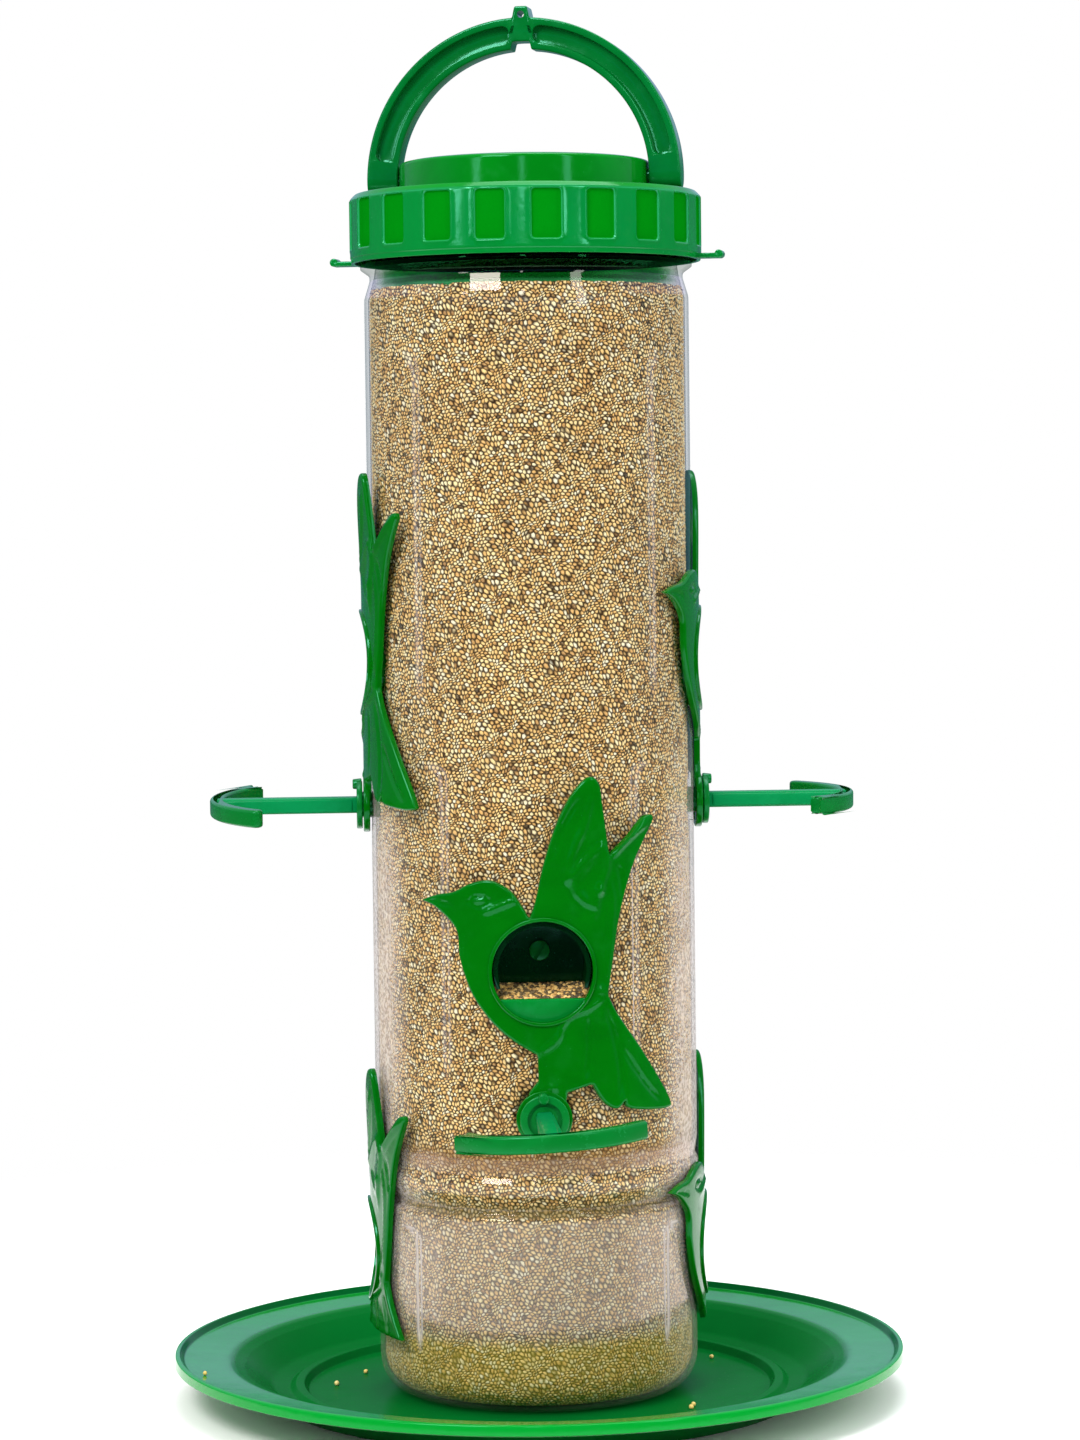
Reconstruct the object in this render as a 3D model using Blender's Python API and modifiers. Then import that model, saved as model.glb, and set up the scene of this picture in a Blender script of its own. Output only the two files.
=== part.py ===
"""Gravity game feeder: a clear seed jar with bird-shaped feeding ports, T perches,
a screw lid with a fold-down handle and a catching tray.  Metres, +Z up.
Origin: centre of the tray's flat underside.  The front feeding port faces -Y."""
import bpy
import bmesh
import math
from mathutils import Matrix, Vector

# ---------------------------------------------------------------- dimensions (mm)
MM = 0.001
GAP = 0.3                       # clearance kept between touching pieces

# jar
JAR_R = 49.8                    # outer radius of the body
JAR_WALL = 1.2
JAR_BASE_Z = 2.3                # standing ring
JAR_RIM_Z = 367.4               # top of the neck
NECK_R = 48.0
NECK_FLANGE_R = 49.4
NECK_FLANGE_Z = 349.4
NECK_GROOVE_R = 48.0
NECK_GROOVE_Z = 345.6
SHOULDER_Z = 340.0
WAIST_R = 47.4                  # waist groove
WAIST_Z = 62.8
LOWER_R = 49.3                  # body below the waist
PUSHUP_R = 20.0
PUSHUP_Z = 7.5
BOLT_HOLE_R = 3.0
JAR_SEGMENTS = 40

# feeding ports
PORT_LEVEL_LOW, PORT_LEVEL_MID, PORT_LEVEL_HIGH = 46.0, 137.0, 228.0
PORT_HOLE_R = 15.1              # clear opening
PORT_TUBE_R = 16.3              # spigot through the jar wall
PORT_JAR_HOLE_R = 16.7
PLATE_IN_R = 50.2               # bird plate, wrapped round the jar
PLATE_T = 1.9
STAND_OFF = 2.1                 # how far the wing, beak and tail tips spring clear of the jar
STAND_FROM, STAND_TO = 20.0, 58.0
RIM_OUT_R = 52.8                # thin raised rim round the opening
SPIGOT_IN_R = 43.6              # where the spigot ends inside the jar
LIP_TOP = -8.2                  # top edge of the seed lip, below the hole's centre
LOW_TRIM = -23.5                # the lowest ports end here, clear of the tray
STRIP = 7.0                     # width of one flat strip of the wrapped plate

# inner hood
HOOD_R = 14.7
HOOD_T = 1.4
HOOD_FRONT_R = 48.6
HOOD_BACK_R = 30.5
HOOD_OPEN = -5.2                # lower edge of the back wall
BOSS_R = 2.5

# perch
PERCH_DROP = 44.0               # perch axis below the hole's centre
RING_R = 8.4
RING_IN_R, RING_OUT_R = 50.25, 52.25
COLLAR_R = 7.4
COLLAR_AT = 52.55
COLLAR_T = 1.8
PERCH_SPIGOT_R = 4.0
KEY_R = 4.5                     # keyed hole: round part
KEY_W, KEY_H = 4.2, 12.6        # keyed hole: slot
LUG_L, LUG_W = 11.6, 3.4
LUG_IN_R, LUG_OUT_R = 44.9, 47.3
ROD_W, ROD_H = 4.6, 4.8
BAR_APEX_R = 99.5               # outermost face of the cross bar
BAR_HALF = 27.3
BAR_BACK = 12.5                 # how far its ends sweep back
BAR_T = 4.2
BAR_H = 5.4
PERCH_ROLL = {"front": 3.0, "left": -4.0, "right": 1.5, "back": 0.0}  # degrees rolled in their play

# lid and handle
LID_R = 53.9
LID_WALL = 1.8
LID_SKIRT = 1.4                 # wall of the skirt, clear of the neck's thread
LID_Z0 = 350.0
LID_SHOULDER_Z = 371.0
LID_TOP_Z = 380.8
DISC_R = 38.4
LID_CLOCK = -14.0               # degrees the lid sits past square after tightening
GRIPS = 20
GRIP_W, GRIP_D = 9.4, 0.9
GRIP_Z0, GRIP_Z1 = 354.6, 368.6
EAR_R, EAR_T, EAR_W = 60.2, 1.5, 6.0
SEAL_R, SEAL_Z0, SEAL_T = 48.4, 367.7, 1.2
PIVOT_Z = 375.6
PIN_R, PIN_HOLE_R = 2.2, 2.5
HANDLE_IN_R, HANDLE_OUT_R = 39.2, 48.9
HANDLE_W = 8.0
HANDLE_RIM = 2.2
HANDLE_WEB = 3.0
HUMP_W, HUMP_H = 5.2, 3.4
HANG_HOLE_R = 1.1

# tray
TRAY_R = 113.3
TRAY_RIM_Z = 15.0
BOWL_R = 94.0
BOSS_TOP_Z = 7.2
FLOOR_T = 2.0
TRAY_SEGMENTS = 48

# tray bolt
BOLT_R = 2.6
HEAD_R, HEAD_Z0, HEAD_Z1 = 4.6, 1.9, 5.1
BOLT_TOP_Z = 17.0
WASHER_R, WASHER_T = 9.0, 1.5
NUT_AF, NUT_H = 9.0, 4.0

# ---------------------------------------------------------------- scene
for old in list(bpy.data.objects):
    bpy.data.objects.remove(old, do_unlink=True)

PARTS = bpy.data.collections.new("gravity_game_feeder")
CUTTERS = bpy.data.collections.new("cutters")
bpy.context.scene.collection.children.link(PARTS)
bpy.context.scene.collection.children.link(CUTTERS)


def make_material(name, colour, rough, metal=0.0, alpha=1.0):
    mat = bpy.data.materials.new(name)
    mat.use_nodes = True
    bsdf = mat.node_tree.nodes["Principled BSDF"]
    bsdf.inputs["Base Color"].default_value = (*colour, 1.0)
    bsdf.inputs["Roughness"].default_value = rough
    bsdf.inputs["Metallic"].default_value = metal
    bsdf.inputs["Alpha"].default_value = alpha
    mat.diffuse_color = (*colour, alpha)
    return mat


GREEN = make_material("green_plastic", (0.0, 0.22, 0.02), 0.25)
DARK_GREEN = make_material("hood_plastic", (0.0, 0.08, 0.03), 0.35)
CLEAR = make_material("clear_plastic", (0.85, 0.83, 0.88), 0.05, alpha=0.3)
FOAM = make_material("seal_foam", (0.85, 0.85, 0.82), 0.9)
RUBBER = make_material("washer_rubber", (0.03, 0.03, 0.03), 0.7)
STEEL = make_material("plated_steel", (0.6, 0.6, 0.6), 0.3, metal=1.0)


def new_object(name, mesh, material=None, cutter=False):
    obj = bpy.data.objects.new(name, mesh)
    (CUTTERS if cutter else PARTS).objects.link(obj)
    if cutter:
        obj.hide_render = True
        obj.display_type = 'WIRE'
    if material is not None:
        mesh.materials.clear()
        mesh.materials.append(material)
    return obj


def mesh_from_bm(name, bm):
    mesh = bpy.data.meshes.new(name)
    bmesh.ops.recalc_face_normals(bm, faces=bm.faces)
    bm.to_mesh(mesh)
    bm.free()
    return mesh


def bake(obj):
    """Replaces an object's data with its evaluated mesh and drops its modifiers."""
    bpy.context.view_layer.update()
    deps = bpy.context.evaluated_depsgraph_get()
    mesh = bpy.data.meshes.new_from_object(obj.evaluated_get(deps))
    bm = bmesh.new()
    bm.from_mesh(mesh)
    bmesh.ops.remove_doubles(bm, verts=bm.verts, dist=0.00001)
    bmesh.ops.dissolve_degenerate(bm, edges=bm.edges, dist=0.000005)
    bm.to_mesh(mesh)
    bm.free()
    name, mats = obj.name, [m for m in obj.data.materials]
    colls, matrix = list(obj.users_collection), obj.matrix_world.copy()
    hide = obj.hide_render
    bpy.data.objects.remove(obj, do_unlink=True)
    mesh.name = name
    mesh.materials.clear()
    for m in mats:
        mesh.materials.append(m)
    new = bpy.data.objects.new(name, mesh)
    for c in colls:
        c.objects.link(new)
    new.matrix_world = matrix
    if hide:
        new.hide_render = True
        new.display_type = 'WIRE'
    return new


def combine(obj, tools):
    """Applies (operation, tool) pairs in turn with the exact solver."""
    for op, tool in tools:
        mod = obj.modifiers.new(op.lower(), 'BOOLEAN')
        mod.operation = op
        mod.solver = 'EXACT'
        mod.object = tool
    obj = bake(obj)
    for _, tool in tools:
        if tool.name in bpy.data.objects:
            bpy.data.objects.remove(tool, do_unlink=True)
    return obj


def finish_shading(obj, angle=32.0):
    obj.data.shade_smooth()
    obj.data.set_sharp_from_angle(angle=math.radians(angle))


def lathe(name, profile, segments, material=None, cutter=False):
    """Turned body from a closed (radius, z) profile in mm that runs down its outer side."""
    mesh = bpy.data.meshes.new(name)
    n = len(profile)
    mesh.from_pydata([(r * MM, 0.0, z * MM) for r, z in profile],
                     [(i, (i + 1) % n) for i in range(n)], [])
    obj = new_object(name, mesh, material, cutter)
    mod = obj.modifiers.new("turn", 'SCREW')
    mod.axis = 'Z'
    mod.steps = segments
    mod.render_steps = segments
    mod.use_merge_vertices = True
    mod.merge_threshold = 0.00001
    return bake(obj)


def solid_lathe(name, profile, segments, material=None, cutter=False):
    """Turned body whose profile starts and ends on the axis, run from top to bottom."""
    mesh = bpy.data.meshes.new(name)
    n = len(profile)
    mesh.from_pydata([(r * MM, 0.0, z * MM) for r, z in profile],
                     [(i, i + 1) for i in range(n - 1)], [])
    obj = new_object(name, mesh, material, cutter)
    mod = obj.modifiers.new("turn", 'SCREW')
    mod.axis = 'Z'
    mod.steps = segments
    mod.render_steps = segments
    mod.use_merge_vertices = True
    mod.merge_threshold = 0.00001
    return bake(obj)


def cylinder(name, r, p0, p1, segments=32, material=None, cutter=True, r2=None):
    """Cylinder or cone between two points (mm)."""
    a, b = Vector(p0) * MM, Vector(p1) * MM
    axis = b - a
    bm = bmesh.new()
    rot = Vector((0, 0, 1)).rotation_difference(axis.normalized()).to_matrix().to_4x4()
    bmesh.ops.create_cone(bm, cap_ends=True, segments=segments, radius1=r * MM,
                          radius2=(r if r2 is None else r2) * MM, depth=axis.length,
                          matrix=Matrix.Translation((a + b) / 2) @ rot)
    return new_object(name, mesh_from_bm(name, bm), material, cutter)


def box(name, lo, hi, material=None, cutter=True, matrix=None):
    lo, hi = Vector(lo) * MM, Vector(hi) * MM
    size = hi - lo
    bm = bmesh.new()
    mat = Matrix.Translation((lo + hi) / 2) @ Matrix.Diagonal((*size, 1.0))
    if matrix is not None:
        mat = matrix @ mat
    bmesh.ops.create_cube(bm, size=1.0, matrix=mat)
    return new_object(name, mesh_from_bm(name, bm), material, cutter)


def flat_outline(name, loops, thickness, material=None, cutter=True):
    """Flat piece in the XY plane, centred on z = 0, from closed outlines in mm."""
    curve = bpy.data.curves.new(name, 'CURVE')
    curve.dimensions = '2D'
    curve.fill_mode = 'BOTH'
    curve.extrude = thickness * MM / 2
    for loop in loops:
        spline = curve.splines.new('POLY')
        spline.points.add(len(loop) - 1)
        for point, (x, y) in zip(spline.points, loop):
            point.co = (x * MM, y * MM, 0.0, 1.0)
        spline.use_cyclic_u = True
    guide = bpy.data.objects.new(name, curve)
    CUTTERS.objects.link(guide)
    bpy.context.view_layer.update()
    deps = bpy.context.evaluated_depsgraph_get()
    mesh = bpy.data.meshes.new_from_object(guide.evaluated_get(deps))
    bpy.data.objects.remove(guide, do_unlink=True)
    bm = bmesh.new()
    bm.from_mesh(mesh)
    bmesh.ops.remove_doubles(bm, verts=bm.verts, dist=0.000005)
    mesh = mesh_from_bm(name, bm)
    return new_object(name, mesh, material, cutter)


def arc(cx, cy, r, a0, a1, n):
    return [(cx + r * math.cos(math.radians(a0 + (a1 - a0) * i / n)),
             cy + r * math.sin(math.radians(a0 + (a1 - a0) * i / n))) for i in range(n + 1)]


def circle(cx, cy, r, n):
    return arc(cx, cy, r, 0.0, 360.0 * (n - 1) / n, n - 1)


def smooth_loop(points, step):
    """Closed outline through (x, y, corner) points: Hermite between them, sharp at corners."""
    out = []
    n = len(points)
    for i in range(n):
        p0, p1 = points[i - 1], points[i]
        p2, p3 = points[(i + 1) % n], points[(i + 2) % n]
        out.append((p1[0], p1[1]))
        dx, dy = p2[0] - p1[0], p2[1] - p1[1]
        m1 = (dx, dy) if p1[2] else ((p2[0] - p0[0]) / 2, (p2[1] - p0[1]) / 2)
        m2 = (dx, dy) if p2[2] else ((p3[0] - p1[0]) / 2, (p3[1] - p1[1]) / 2)
        pieces = int(math.hypot(dx, dy) / step)
        for j in range(1, pieces + 1):
            t = j / (pieces + 1)
            h1 = 2 * t ** 3 - 3 * t ** 2 + 1
            h2 = t ** 3 - 2 * t ** 2 + t
            h3 = -2 * t ** 3 + 3 * t ** 2
            h4 = t ** 3 - t ** 2
            out.append((h1 * p1[0] + h2 * m1[0] + h3 * p2[0] + h4 * m2[0],
                        h1 * p1[1] + h2 * m1[1] + h3 * p2[1] + h4 * m2[1]))
    return out


# ---------------------------------------------------------------- jar
def jar_outer():
    """Outer side of the jar from the neck's rim down to the bolt hole in its base."""
    pts = [(NECK_R - 0.6, JAR_RIM_Z), (NECK_R, JAR_RIM_Z - 0.6), (NECK_R, NECK_FLANGE_Z + 1.6),
           (NECK_FLANGE_R, NECK_FLANGE_Z + 0.6), (NECK_FLANGE_R, NECK_FLANGE_Z - 1.0),
           (NECK_GROOVE_R + 0.1, NECK_GROOVE_Z + 0.6), (NECK_GROOVE_R + 0.1, NECK_GROOVE_Z - 0.8),
           (JAR_R, SHOULDER_Z - 1.0)]
    pts += [(JAR_R, WAIST_Z + 8.0), (JAR_R - 0.5, WAIST_Z + 4.6), (WAIST_R + 0.3, WAIST_Z + 0.8),
            (WAIST_R + 0.3, WAIST_Z - 0.8), (LOWER_R, WAIST_Z - 6.0), (LOWER_R, JAR_BASE_Z + 11.0)]
    heel_r, heel_z = 9.0, 11.0
    for i in range(1, 4):
        a = math.radians(90.0 * i / 3)
        pts.append((LOWER_R - heel_r * (1 - math.cos(a)), JAR_BASE_Z + heel_z * (1 - math.sin(a))))
    pts += [(37.0, JAR_BASE_Z), (33.0, JAR_BASE_Z + 1.6), (26.0, PUSHUP_Z - 1.0),
            (PUSHUP_R, PUSHUP_Z), (BOLT_HOLE_R, PUSHUP_Z)]
    return pts


def jar_inner():
    """Inner side of the jar from the bolt hole back up to the rim."""
    t = JAR_WALL
    pts = [(BOLT_HOLE_R, PUSHUP_Z + 1.4), (PUSHUP_R, PUSHUP_Z + 1.4), (26.5, PUSHUP_Z + 0.4),
           (33.5, JAR_BASE_Z + 3.0), (37.2, JAR_BASE_Z + 1.5)]
    heel_r, heel_z = 9.0 - 0.6, 11.0 - 1.5
    for i in range(3, 0, -1):
        a = math.radians(90.0 * i / 3)
        pts.append((LOWER_R - t - heel_r * (1 - math.cos(a)),
                    JAR_BASE_Z + 1.5 + heel_z * (1 - math.sin(a))))
    pts += [(LOWER_R - t, JAR_BASE_Z + 11.0), (LOWER_R - t, WAIST_Z - 6.3), (WAIST_R - t, WAIST_Z),
            (JAR_R - t, WAIST_Z + 7.0), (JAR_R - t, SHOULDER_Z - 1.2),
            (NECK_GROOVE_R - t, NECK_GROOVE_Z), (NECK_R - 1.8, NECK_FLANGE_Z + 0.5),
            (NECK_R - 1.8, JAR_RIM_Z)]
    return pts


def turned_about_z(point, degrees):
    return Matrix.Rotation(math.radians(degrees), 4, 'Z') @ Vector(point)


# name, direction round the jar (0 faces -Y, 90 faces +X), level, has a perch
PORTS = [("front", 0.0, PORT_LEVEL_MID, True), ("back", 180.0, PORT_LEVEL_MID, True),
         ("left_upper", -90.0, PORT_LEVEL_HIGH, True), ("right_upper", 90.0, PORT_LEVEL_HIGH, True),
         ("left_lower", -90.0, PORT_LEVEL_LOW, False), ("right_lower", 90.0, PORT_LEVEL_LOW, False)]


def build_jar():
    jar = lathe("jar", jar_outer() + jar_inner(), JAR_SEGMENTS, CLEAR)
    tools = []
    for name, turn, level, perch in PORTS:
        a = turned_about_z((0, -30.0, level), turn)
        b = turned_about_z((0, -60.0, level), turn)
        tools.append(('DIFFERENCE', cylinder("hole_" + name, PORT_JAR_HOLE_R, a, b, 24)))
        if perch:
            z = level - PERCH_DROP
            a = turned_about_z((0, -42.0, z), turn)
            b = turned_about_z((0, -58.0, z), turn)
            tools.append(('DIFFERENCE', cylinder("key_" + name, KEY_R, a, b, 12)))
            spin = Matrix.Rotation(math.radians(turn), 4, 'Z')
            tools.append(('DIFFERENCE', box("slot_" + name, (-KEY_W / 2, -58.0, z - KEY_H / 2),
                                            (KEY_W / 2, -42.0, z + KEY_H / 2), matrix=spin)))
    jar = combine(jar, tools)
    finish_shading(jar)
    return jar


# ---------------------------------------------------------------- bird-shaped port
# Outline of the flying bird, unrolled: (along the jar, above the hole's centre, corner) in mm.
BIRD = [
    (-37.8, 21.0, 1), (-32.6, 22.8, 0), (-27.0, 23.8, 0), (-21.5, 26.4, 0), (-15.5, 27.4, 0),
    (-9.5, 24.5, 0), (-6.0, 19.8, 0), (-3.8, 16.0, 1),                             # beak, head, nape
    (-2.0, 21.0, 0), (0.8, 33.0, 0), (5.0, 45.5, 0), (9.5, 53.7, 0), (14.0, 58.0, 0),
    (16.9, 56.0, 0), (18.2, 49.0, 0), (20.5, 34.5, 1),                              # far wing
    (26.5, 39.5, 0), (32.0, 45.2, 0), (35.4, 45.0, 0), (32.0, 38.2, 0), (28.9, 32.0, 0),
    (26.0, 23.5, 0), (23.6, 14.0, 0), (21.8, 3.0, 0), (20.0, -7.5, 1),              # near wing
    (23.5, -14.0, 0), (32.2, -26.3, 0), (41.0, -40.5, 0), (39.5, -43.3, 0), (26.5, -42.2, 0),
    (24.8, -39.7, 1), (22.0, -42.0, 0), (18.0, -39.7, 0), (14.5, -34.2, 1), (7.0, -36.4, 1),  # tail
    (6.0, -44.0, 1), (-5.0, -44.0, 1), (-4.5, -36.0, 1), (-1.6, -32.5, 1), (-1.8, -25.0, 1),  # foot
    (-9.5, -20.2, 0), (-15.8, -14.5, 0), (-21.5, -6.5, 0), (-25.2, 4.0, 0), (-26.2, 12.5, 0),
    (-32.5, 18.7, 0)]                                                              # breast, throat
BIRD_STEP = 12.0


def clip_below(loop, limit):
    """Cuts a closed outline off below a level."""
    out = []
    for i, (x, y) in enumerate(loop):
        px, py = loop[i - 1]
        if (py >= limit) != (y >= limit):
            t = (limit - py) / (y - py)
            out.append((px + (x - px) * t, limit))
        if y >= limit:
            out.append((x, y))
    return out


def wrapped_plate(name, trimmed):
    loop = smooth_loop(BIRD, BIRD_STEP)
    if trimmed:
        loop = clip_below(loop, LOW_TRIM)
    plate = flat_outline(name, [loop], PLATE_T, GREEN, cutter=False)
    bm = bmesh.new()
    bm.from_mesh(plate.data)
    count = int(50.0 / STRIP)
    for k in range(-count, count + 1):
        geom = bm.verts[:] + bm.edges[:] + bm.faces[:]
        bmesh.ops.bisect_plane(bm, geom=geom, dist=0.000002,
                               plane_co=((k + 0.5) * STRIP * MM, 0, 0), plane_no=(1, 0, 0))
    bmesh.ops.triangulate(bm, faces=bm.faces)
    mid = (PLATE_IN_R + PLATE_T / 2) * MM
    for v in bm.verts:
        angle = v.co.x / mid
        reach = (math.hypot(v.co.x, v.co.y) / MM - STAND_FROM) / (STAND_TO - STAND_FROM)
        if v.co.y < -20.0 * MM:          # the foot stays down against the jar
            reach *= min(1.0, max(0.0, abs(v.co.x) / MM - 9.0) / 16.0)
        r = mid + v.co.z + STAND_OFF * MM * max(0.0, min(1.0, reach)) ** 1.6
        v.co = Vector((r * math.sin(angle), -r * math.cos(angle), v.co.y))
    bmesh.ops.recalc_face_normals(bm, faces=bm.faces)
    bm.to_mesh(plate.data)
    bm.free()
    return plate


def build_port_mesh(name, perch):
    port = wrapped_plate(name, trimmed=not perch)
    # spigot through the jar wall, its outer end following the plate's curve
    spigot = cylinder(name + "_spigot", PORT_TUBE_R, (0, -SPIGOT_IN_R, 0), (0, -60.0, 0), 24)
    core = cylinder(name + "_core", PORT_HOLE_R, (0, -35.0, 0), (0, -65.0, 0), 24)
    rim = cylinder(name + "_rim", RIM_OUT_R, (0, 0, -25.0), (0, 0, 25.0), 40)
    spigot = combine(spigot, [('INTERSECT', rim)])
    # seed lip across the bottom of the hole
    lip = cylinder(name + "_lip", PORT_TUBE_R - 0.3, (0, -48.0, 0), (0, -49.8, 0), 24)
    above = box(name + "_above", (-20.0, -55.0, LIP_TOP), (20.0, -45.0, 20.0))
    lip = combine(lip, [('DIFFERENCE', above)])
    tools = [('UNION', spigot), ('DIFFERENCE', core), ('UNION', lip)]
    if perch:
        ring = cylinder(name + "_ring", RING_R, (0, -RING_IN_R, -PERCH_DROP),
                        (0, -RING_OUT_R, -PERCH_DROP), 24)
        key = cylinder(name + "_key", KEY_R, (0, -46.0, -PERCH_DROP), (0, -56.0, -PERCH_DROP), 12)
        slot = box(name + "_slot", (-KEY_W / 2, -56.0, -PERCH_DROP - KEY_H / 2),
                   (KEY_W / 2, -46.0, -PERCH_DROP + KEY_H / 2))
        tools += [('UNION', ring), ('DIFFERENCE', key), ('DIFFERENCE', slot)]
    port = combine(port, tools)
    finish_shading(port, 35.0)
    return port


def build_hood_mesh(name):
    """Arched shell, open in front and below, with a slotted boss on its back wall."""
    outer = arc(0.0, 0.0, HOOD_R, 0.0, 180.0, 12)
    outer = [(HOOD_R * math.cos(math.asin(HOOD_OPEN / HOOD_R)), HOOD_OPEN)] + outer + \
            [(-HOOD_R * math.cos(math.asin(HOOD_OPEN / HOOD_R)), HOOD_OPEN)]
    r = HOOD_R - HOOD_T
    low = HOOD_OPEN - 2.0
    inner = [(r * 0.92, low)] + arc(0.0, 0.0, r, 0.0, 180.0, 12) + [(-r * 0.92, low)]
    length = HOOD_FRONT_R - HOOD_BACK_R
    spin = Matrix.Rotation(math.radians(90.0), 4, 'X')
    hood = flat_outline(name, [outer], length, DARK_GREEN, cutter=False)
    hood.data.transform(Matrix.Translation((0, -(HOOD_FRONT_R + HOOD_BACK_R) / 2 * MM, 0)) @ spin)
    core = flat_outline(name + "_core", [inner], length)
    core.data.transform(Matrix.Translation(
        (0, -((HOOD_FRONT_R + HOOD_BACK_R) / 2 + HOOD_T) * MM, 0)) @ spin)
    boss = cylinder(name + "_boss", BOSS_R, (0, -HOOD_BACK_R - 0.5, 4.6),
                    (0, -HOOD_BACK_R - HOOD_T - 1.2, 4.6), 12)
    slot = box(name + "_slot", (-4.0, -HOOD_BACK_R - HOOD_T - 3.0, -0.35),
               (4.0, -HOOD_BACK_R - HOOD_T - 0.5, 0.35))
    slot.data.transform(Matrix.Translation((0, 0, 4.6 * MM)) @
                        Matrix.Rotation(math.radians(-60.0), 4, 'Y'))
    hood = combine(hood, [('DIFFERENCE', core), ('UNION', boss), ('DIFFERENCE', slot)])
    finish_shading(hood)
    return hood


# ---------------------------------------------------------------- perch
def build_perch_mesh(name):
    """Built with its axis along -Y, the collar's back face at y = 0."""
    def y(r):
        return -(r - COLLAR_AT)
    spigot = cylinder(name, PERCH_SPIGOT_R, (0, y(LUG_IN_R), 0), (0, y(COLLAR_AT + 0.6), 0), 12,
                      GREEN, cutter=False)
    collar = cylinder(name + "_collar", COLLAR_R, (0, 0, 0), (0, -COLLAR_T, 0), 24)
    recess = cylinder(name + "_recess", 4.7, (0, -COLLAR_T + 0.9, 0), (0, -COLLAR_T - 2.0, 0), 16)
    nub = cylinder(name + "_nub", 1.8, (0, -0.2, 6.4), (0, -3.0, 6.4), 12, r2=1.5)
    lug = box(name + "_lug", (-LUG_L / 2, y(LUG_OUT_R), -LUG_W / 2),
              (LUG_L / 2, y(LUG_IN_R) - 0.001, LUG_W / 2))
    # cross bar: an arc in plan, swept back at both ends, with round tips
    r_out = (BAR_HALF ** 2 + BAR_BACK ** 2) / (2 * BAR_BACK)
    centre = -(BAR_APEX_R - COLLAR_AT) + r_out
    half = math.degrees(math.asin((BAR_HALF - 1.0) / (r_out - BAR_T / 2)))
    outline = arc(0.0, centre, r_out, -90.0 - half, -90.0 + half, 10)
    tip = math.radians(-90.0 + half)
    tx, ty = (r_out - BAR_T / 2) * math.cos(tip), centre + (r_out - BAR_T / 2) * math.sin(tip)
    outline += arc(tx, ty, BAR_T / 2, -90.0 + half, 90.0 + half, 4)[1:-1]
    outline += arc(0.0, centre, r_out - BAR_T, -90.0 + half, -90.0 - half, 10)
    outline += arc(-tx, ty, BAR_T / 2, 90.0 - half, -90.0 - half, 4)[1:-1]
    bar = flat_outline(name + "_bar", [outline], BAR_H)
    rod = box(name + "_rod", (-ROD_W / 2, y(BAR_APEX_R - BAR_T / 2), -ROD_H / 2),
              (ROD_W / 2, y(COLLAR_AT + 0.5), ROD_H / 2))
    gusset = flat_outline(name + "_gusset",
                          [[(-6.0, y(BAR_APEX_R - 3.0)), (6.0, y(BAR_APEX_R - 3.0)),
                            (ROD_W / 2, y(BAR_APEX_R - 9.5)), (-ROD_W / 2, y(BAR_APEX_R - 9.5))]], 3.6)
    spigot = combine(spigot, [('UNION', collar), ('DIFFERENCE', recess), ('UNION', rod),
                              ('UNION', bar), ('UNION', gusset), ('UNION', nub), ('UNION', lug)])
    finish_shading(spigot)
    return spigot


# ---------------------------------------------------------------- lid, seal, handle
def build_lid():
    z1, t = LID_SHOULDER_Z, LID_WALL
    profile = [(0.0, LID_TOP_Z), (DISC_R - 1.6, LID_TOP_Z), (DISC_R - 0.5, LID_TOP_Z - 0.45),
               (DISC_R, LID_TOP_Z - 1.5), (DISC_R, z1 + 0.4), (DISC_R + 0.5, z1),
               (LID_R - 2.2, z1), (LID_R - 0.7, z1 - 0.7), (LID_R, z1 - 2.2),
               (LID_R, LID_Z0), (LID_R - LID_SKIRT, LID_Z0), (LID_R - LID_SKIRT, z1 - t),
               (DISC_R - 1.5, z1 - t), (DISC_R - 1.5, LID_TOP_Z - 1.6), (0.0, LID_TOP_Z - 1.6)]
    lid = solid_lathe("lid", profile, 48, GREEN)
    bm = bmesh.new()
    step = 360.0 / GRIPS
    for i in range(GRIPS):
        spin = Matrix.Rotation(math.radians(step * i), 4, 'Z')
        mat = spin @ Matrix.Translation(((LID_R - GRIP_D + 2.0) * MM, 0,
                                         (GRIP_Z0 + GRIP_Z1) / 2 * MM)) @ \
            Matrix.Diagonal((4.0 * MM, GRIP_W * MM, (GRIP_Z1 - GRIP_Z0) * MM, 1.0))
        bmesh.ops.create_cube(bm, size=1.0, matrix=mat)
    grips = new_object("lid_grips", mesh_from_bm("lid_grips", bm), None, cutter=True)
    tools = [('DIFFERENCE', grips)]
    for side in (-1, 1):
        tools.append(('DIFFERENCE', cylinder("lid_pin_hole", PIN_HOLE_R, (side * 33.0, 0, PIVOT_Z),
                                             (side * 42.0, 0, PIVOT_Z), 16)))
        # tab reaching out from the skirt's foot, with a small bead at its end
        tools.append(('UNION', box("lid_ear", (side * (LID_R - 1.0) if side > 0 else -EAR_R,
                                               -EAR_W / 2, LID_Z0 + 0.1),
                                   (EAR_R if side > 0 else side * (LID_R - 1.0),
                                    EAR_W / 2, LID_Z0 + 0.1 + EAR_T))))
        tools.append(('UNION', cylinder("lid_bead", 1.25, (side * EAR_R, -EAR_W / 2 + 0.2, LID_Z0 + 1.3),
                                        (side * EAR_R, EAR_W / 2 - 0.2, LID_Z0 + 1.3), 12)))
    lid = combine(lid, tools)
    lid.rotation_euler = (0, 0, math.radians(LID_CLOCK))
    finish_shading(lid)
    return lid


def build_seal():
    seal = cylinder("lid_seal", SEAL_R, (0, 0, SEAL_Z0), (0, 0, SEAL_Z0 + SEAL_T), 40, FOAM,
                    cutter=False)
    finish_shading(seal)
    return seal


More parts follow.
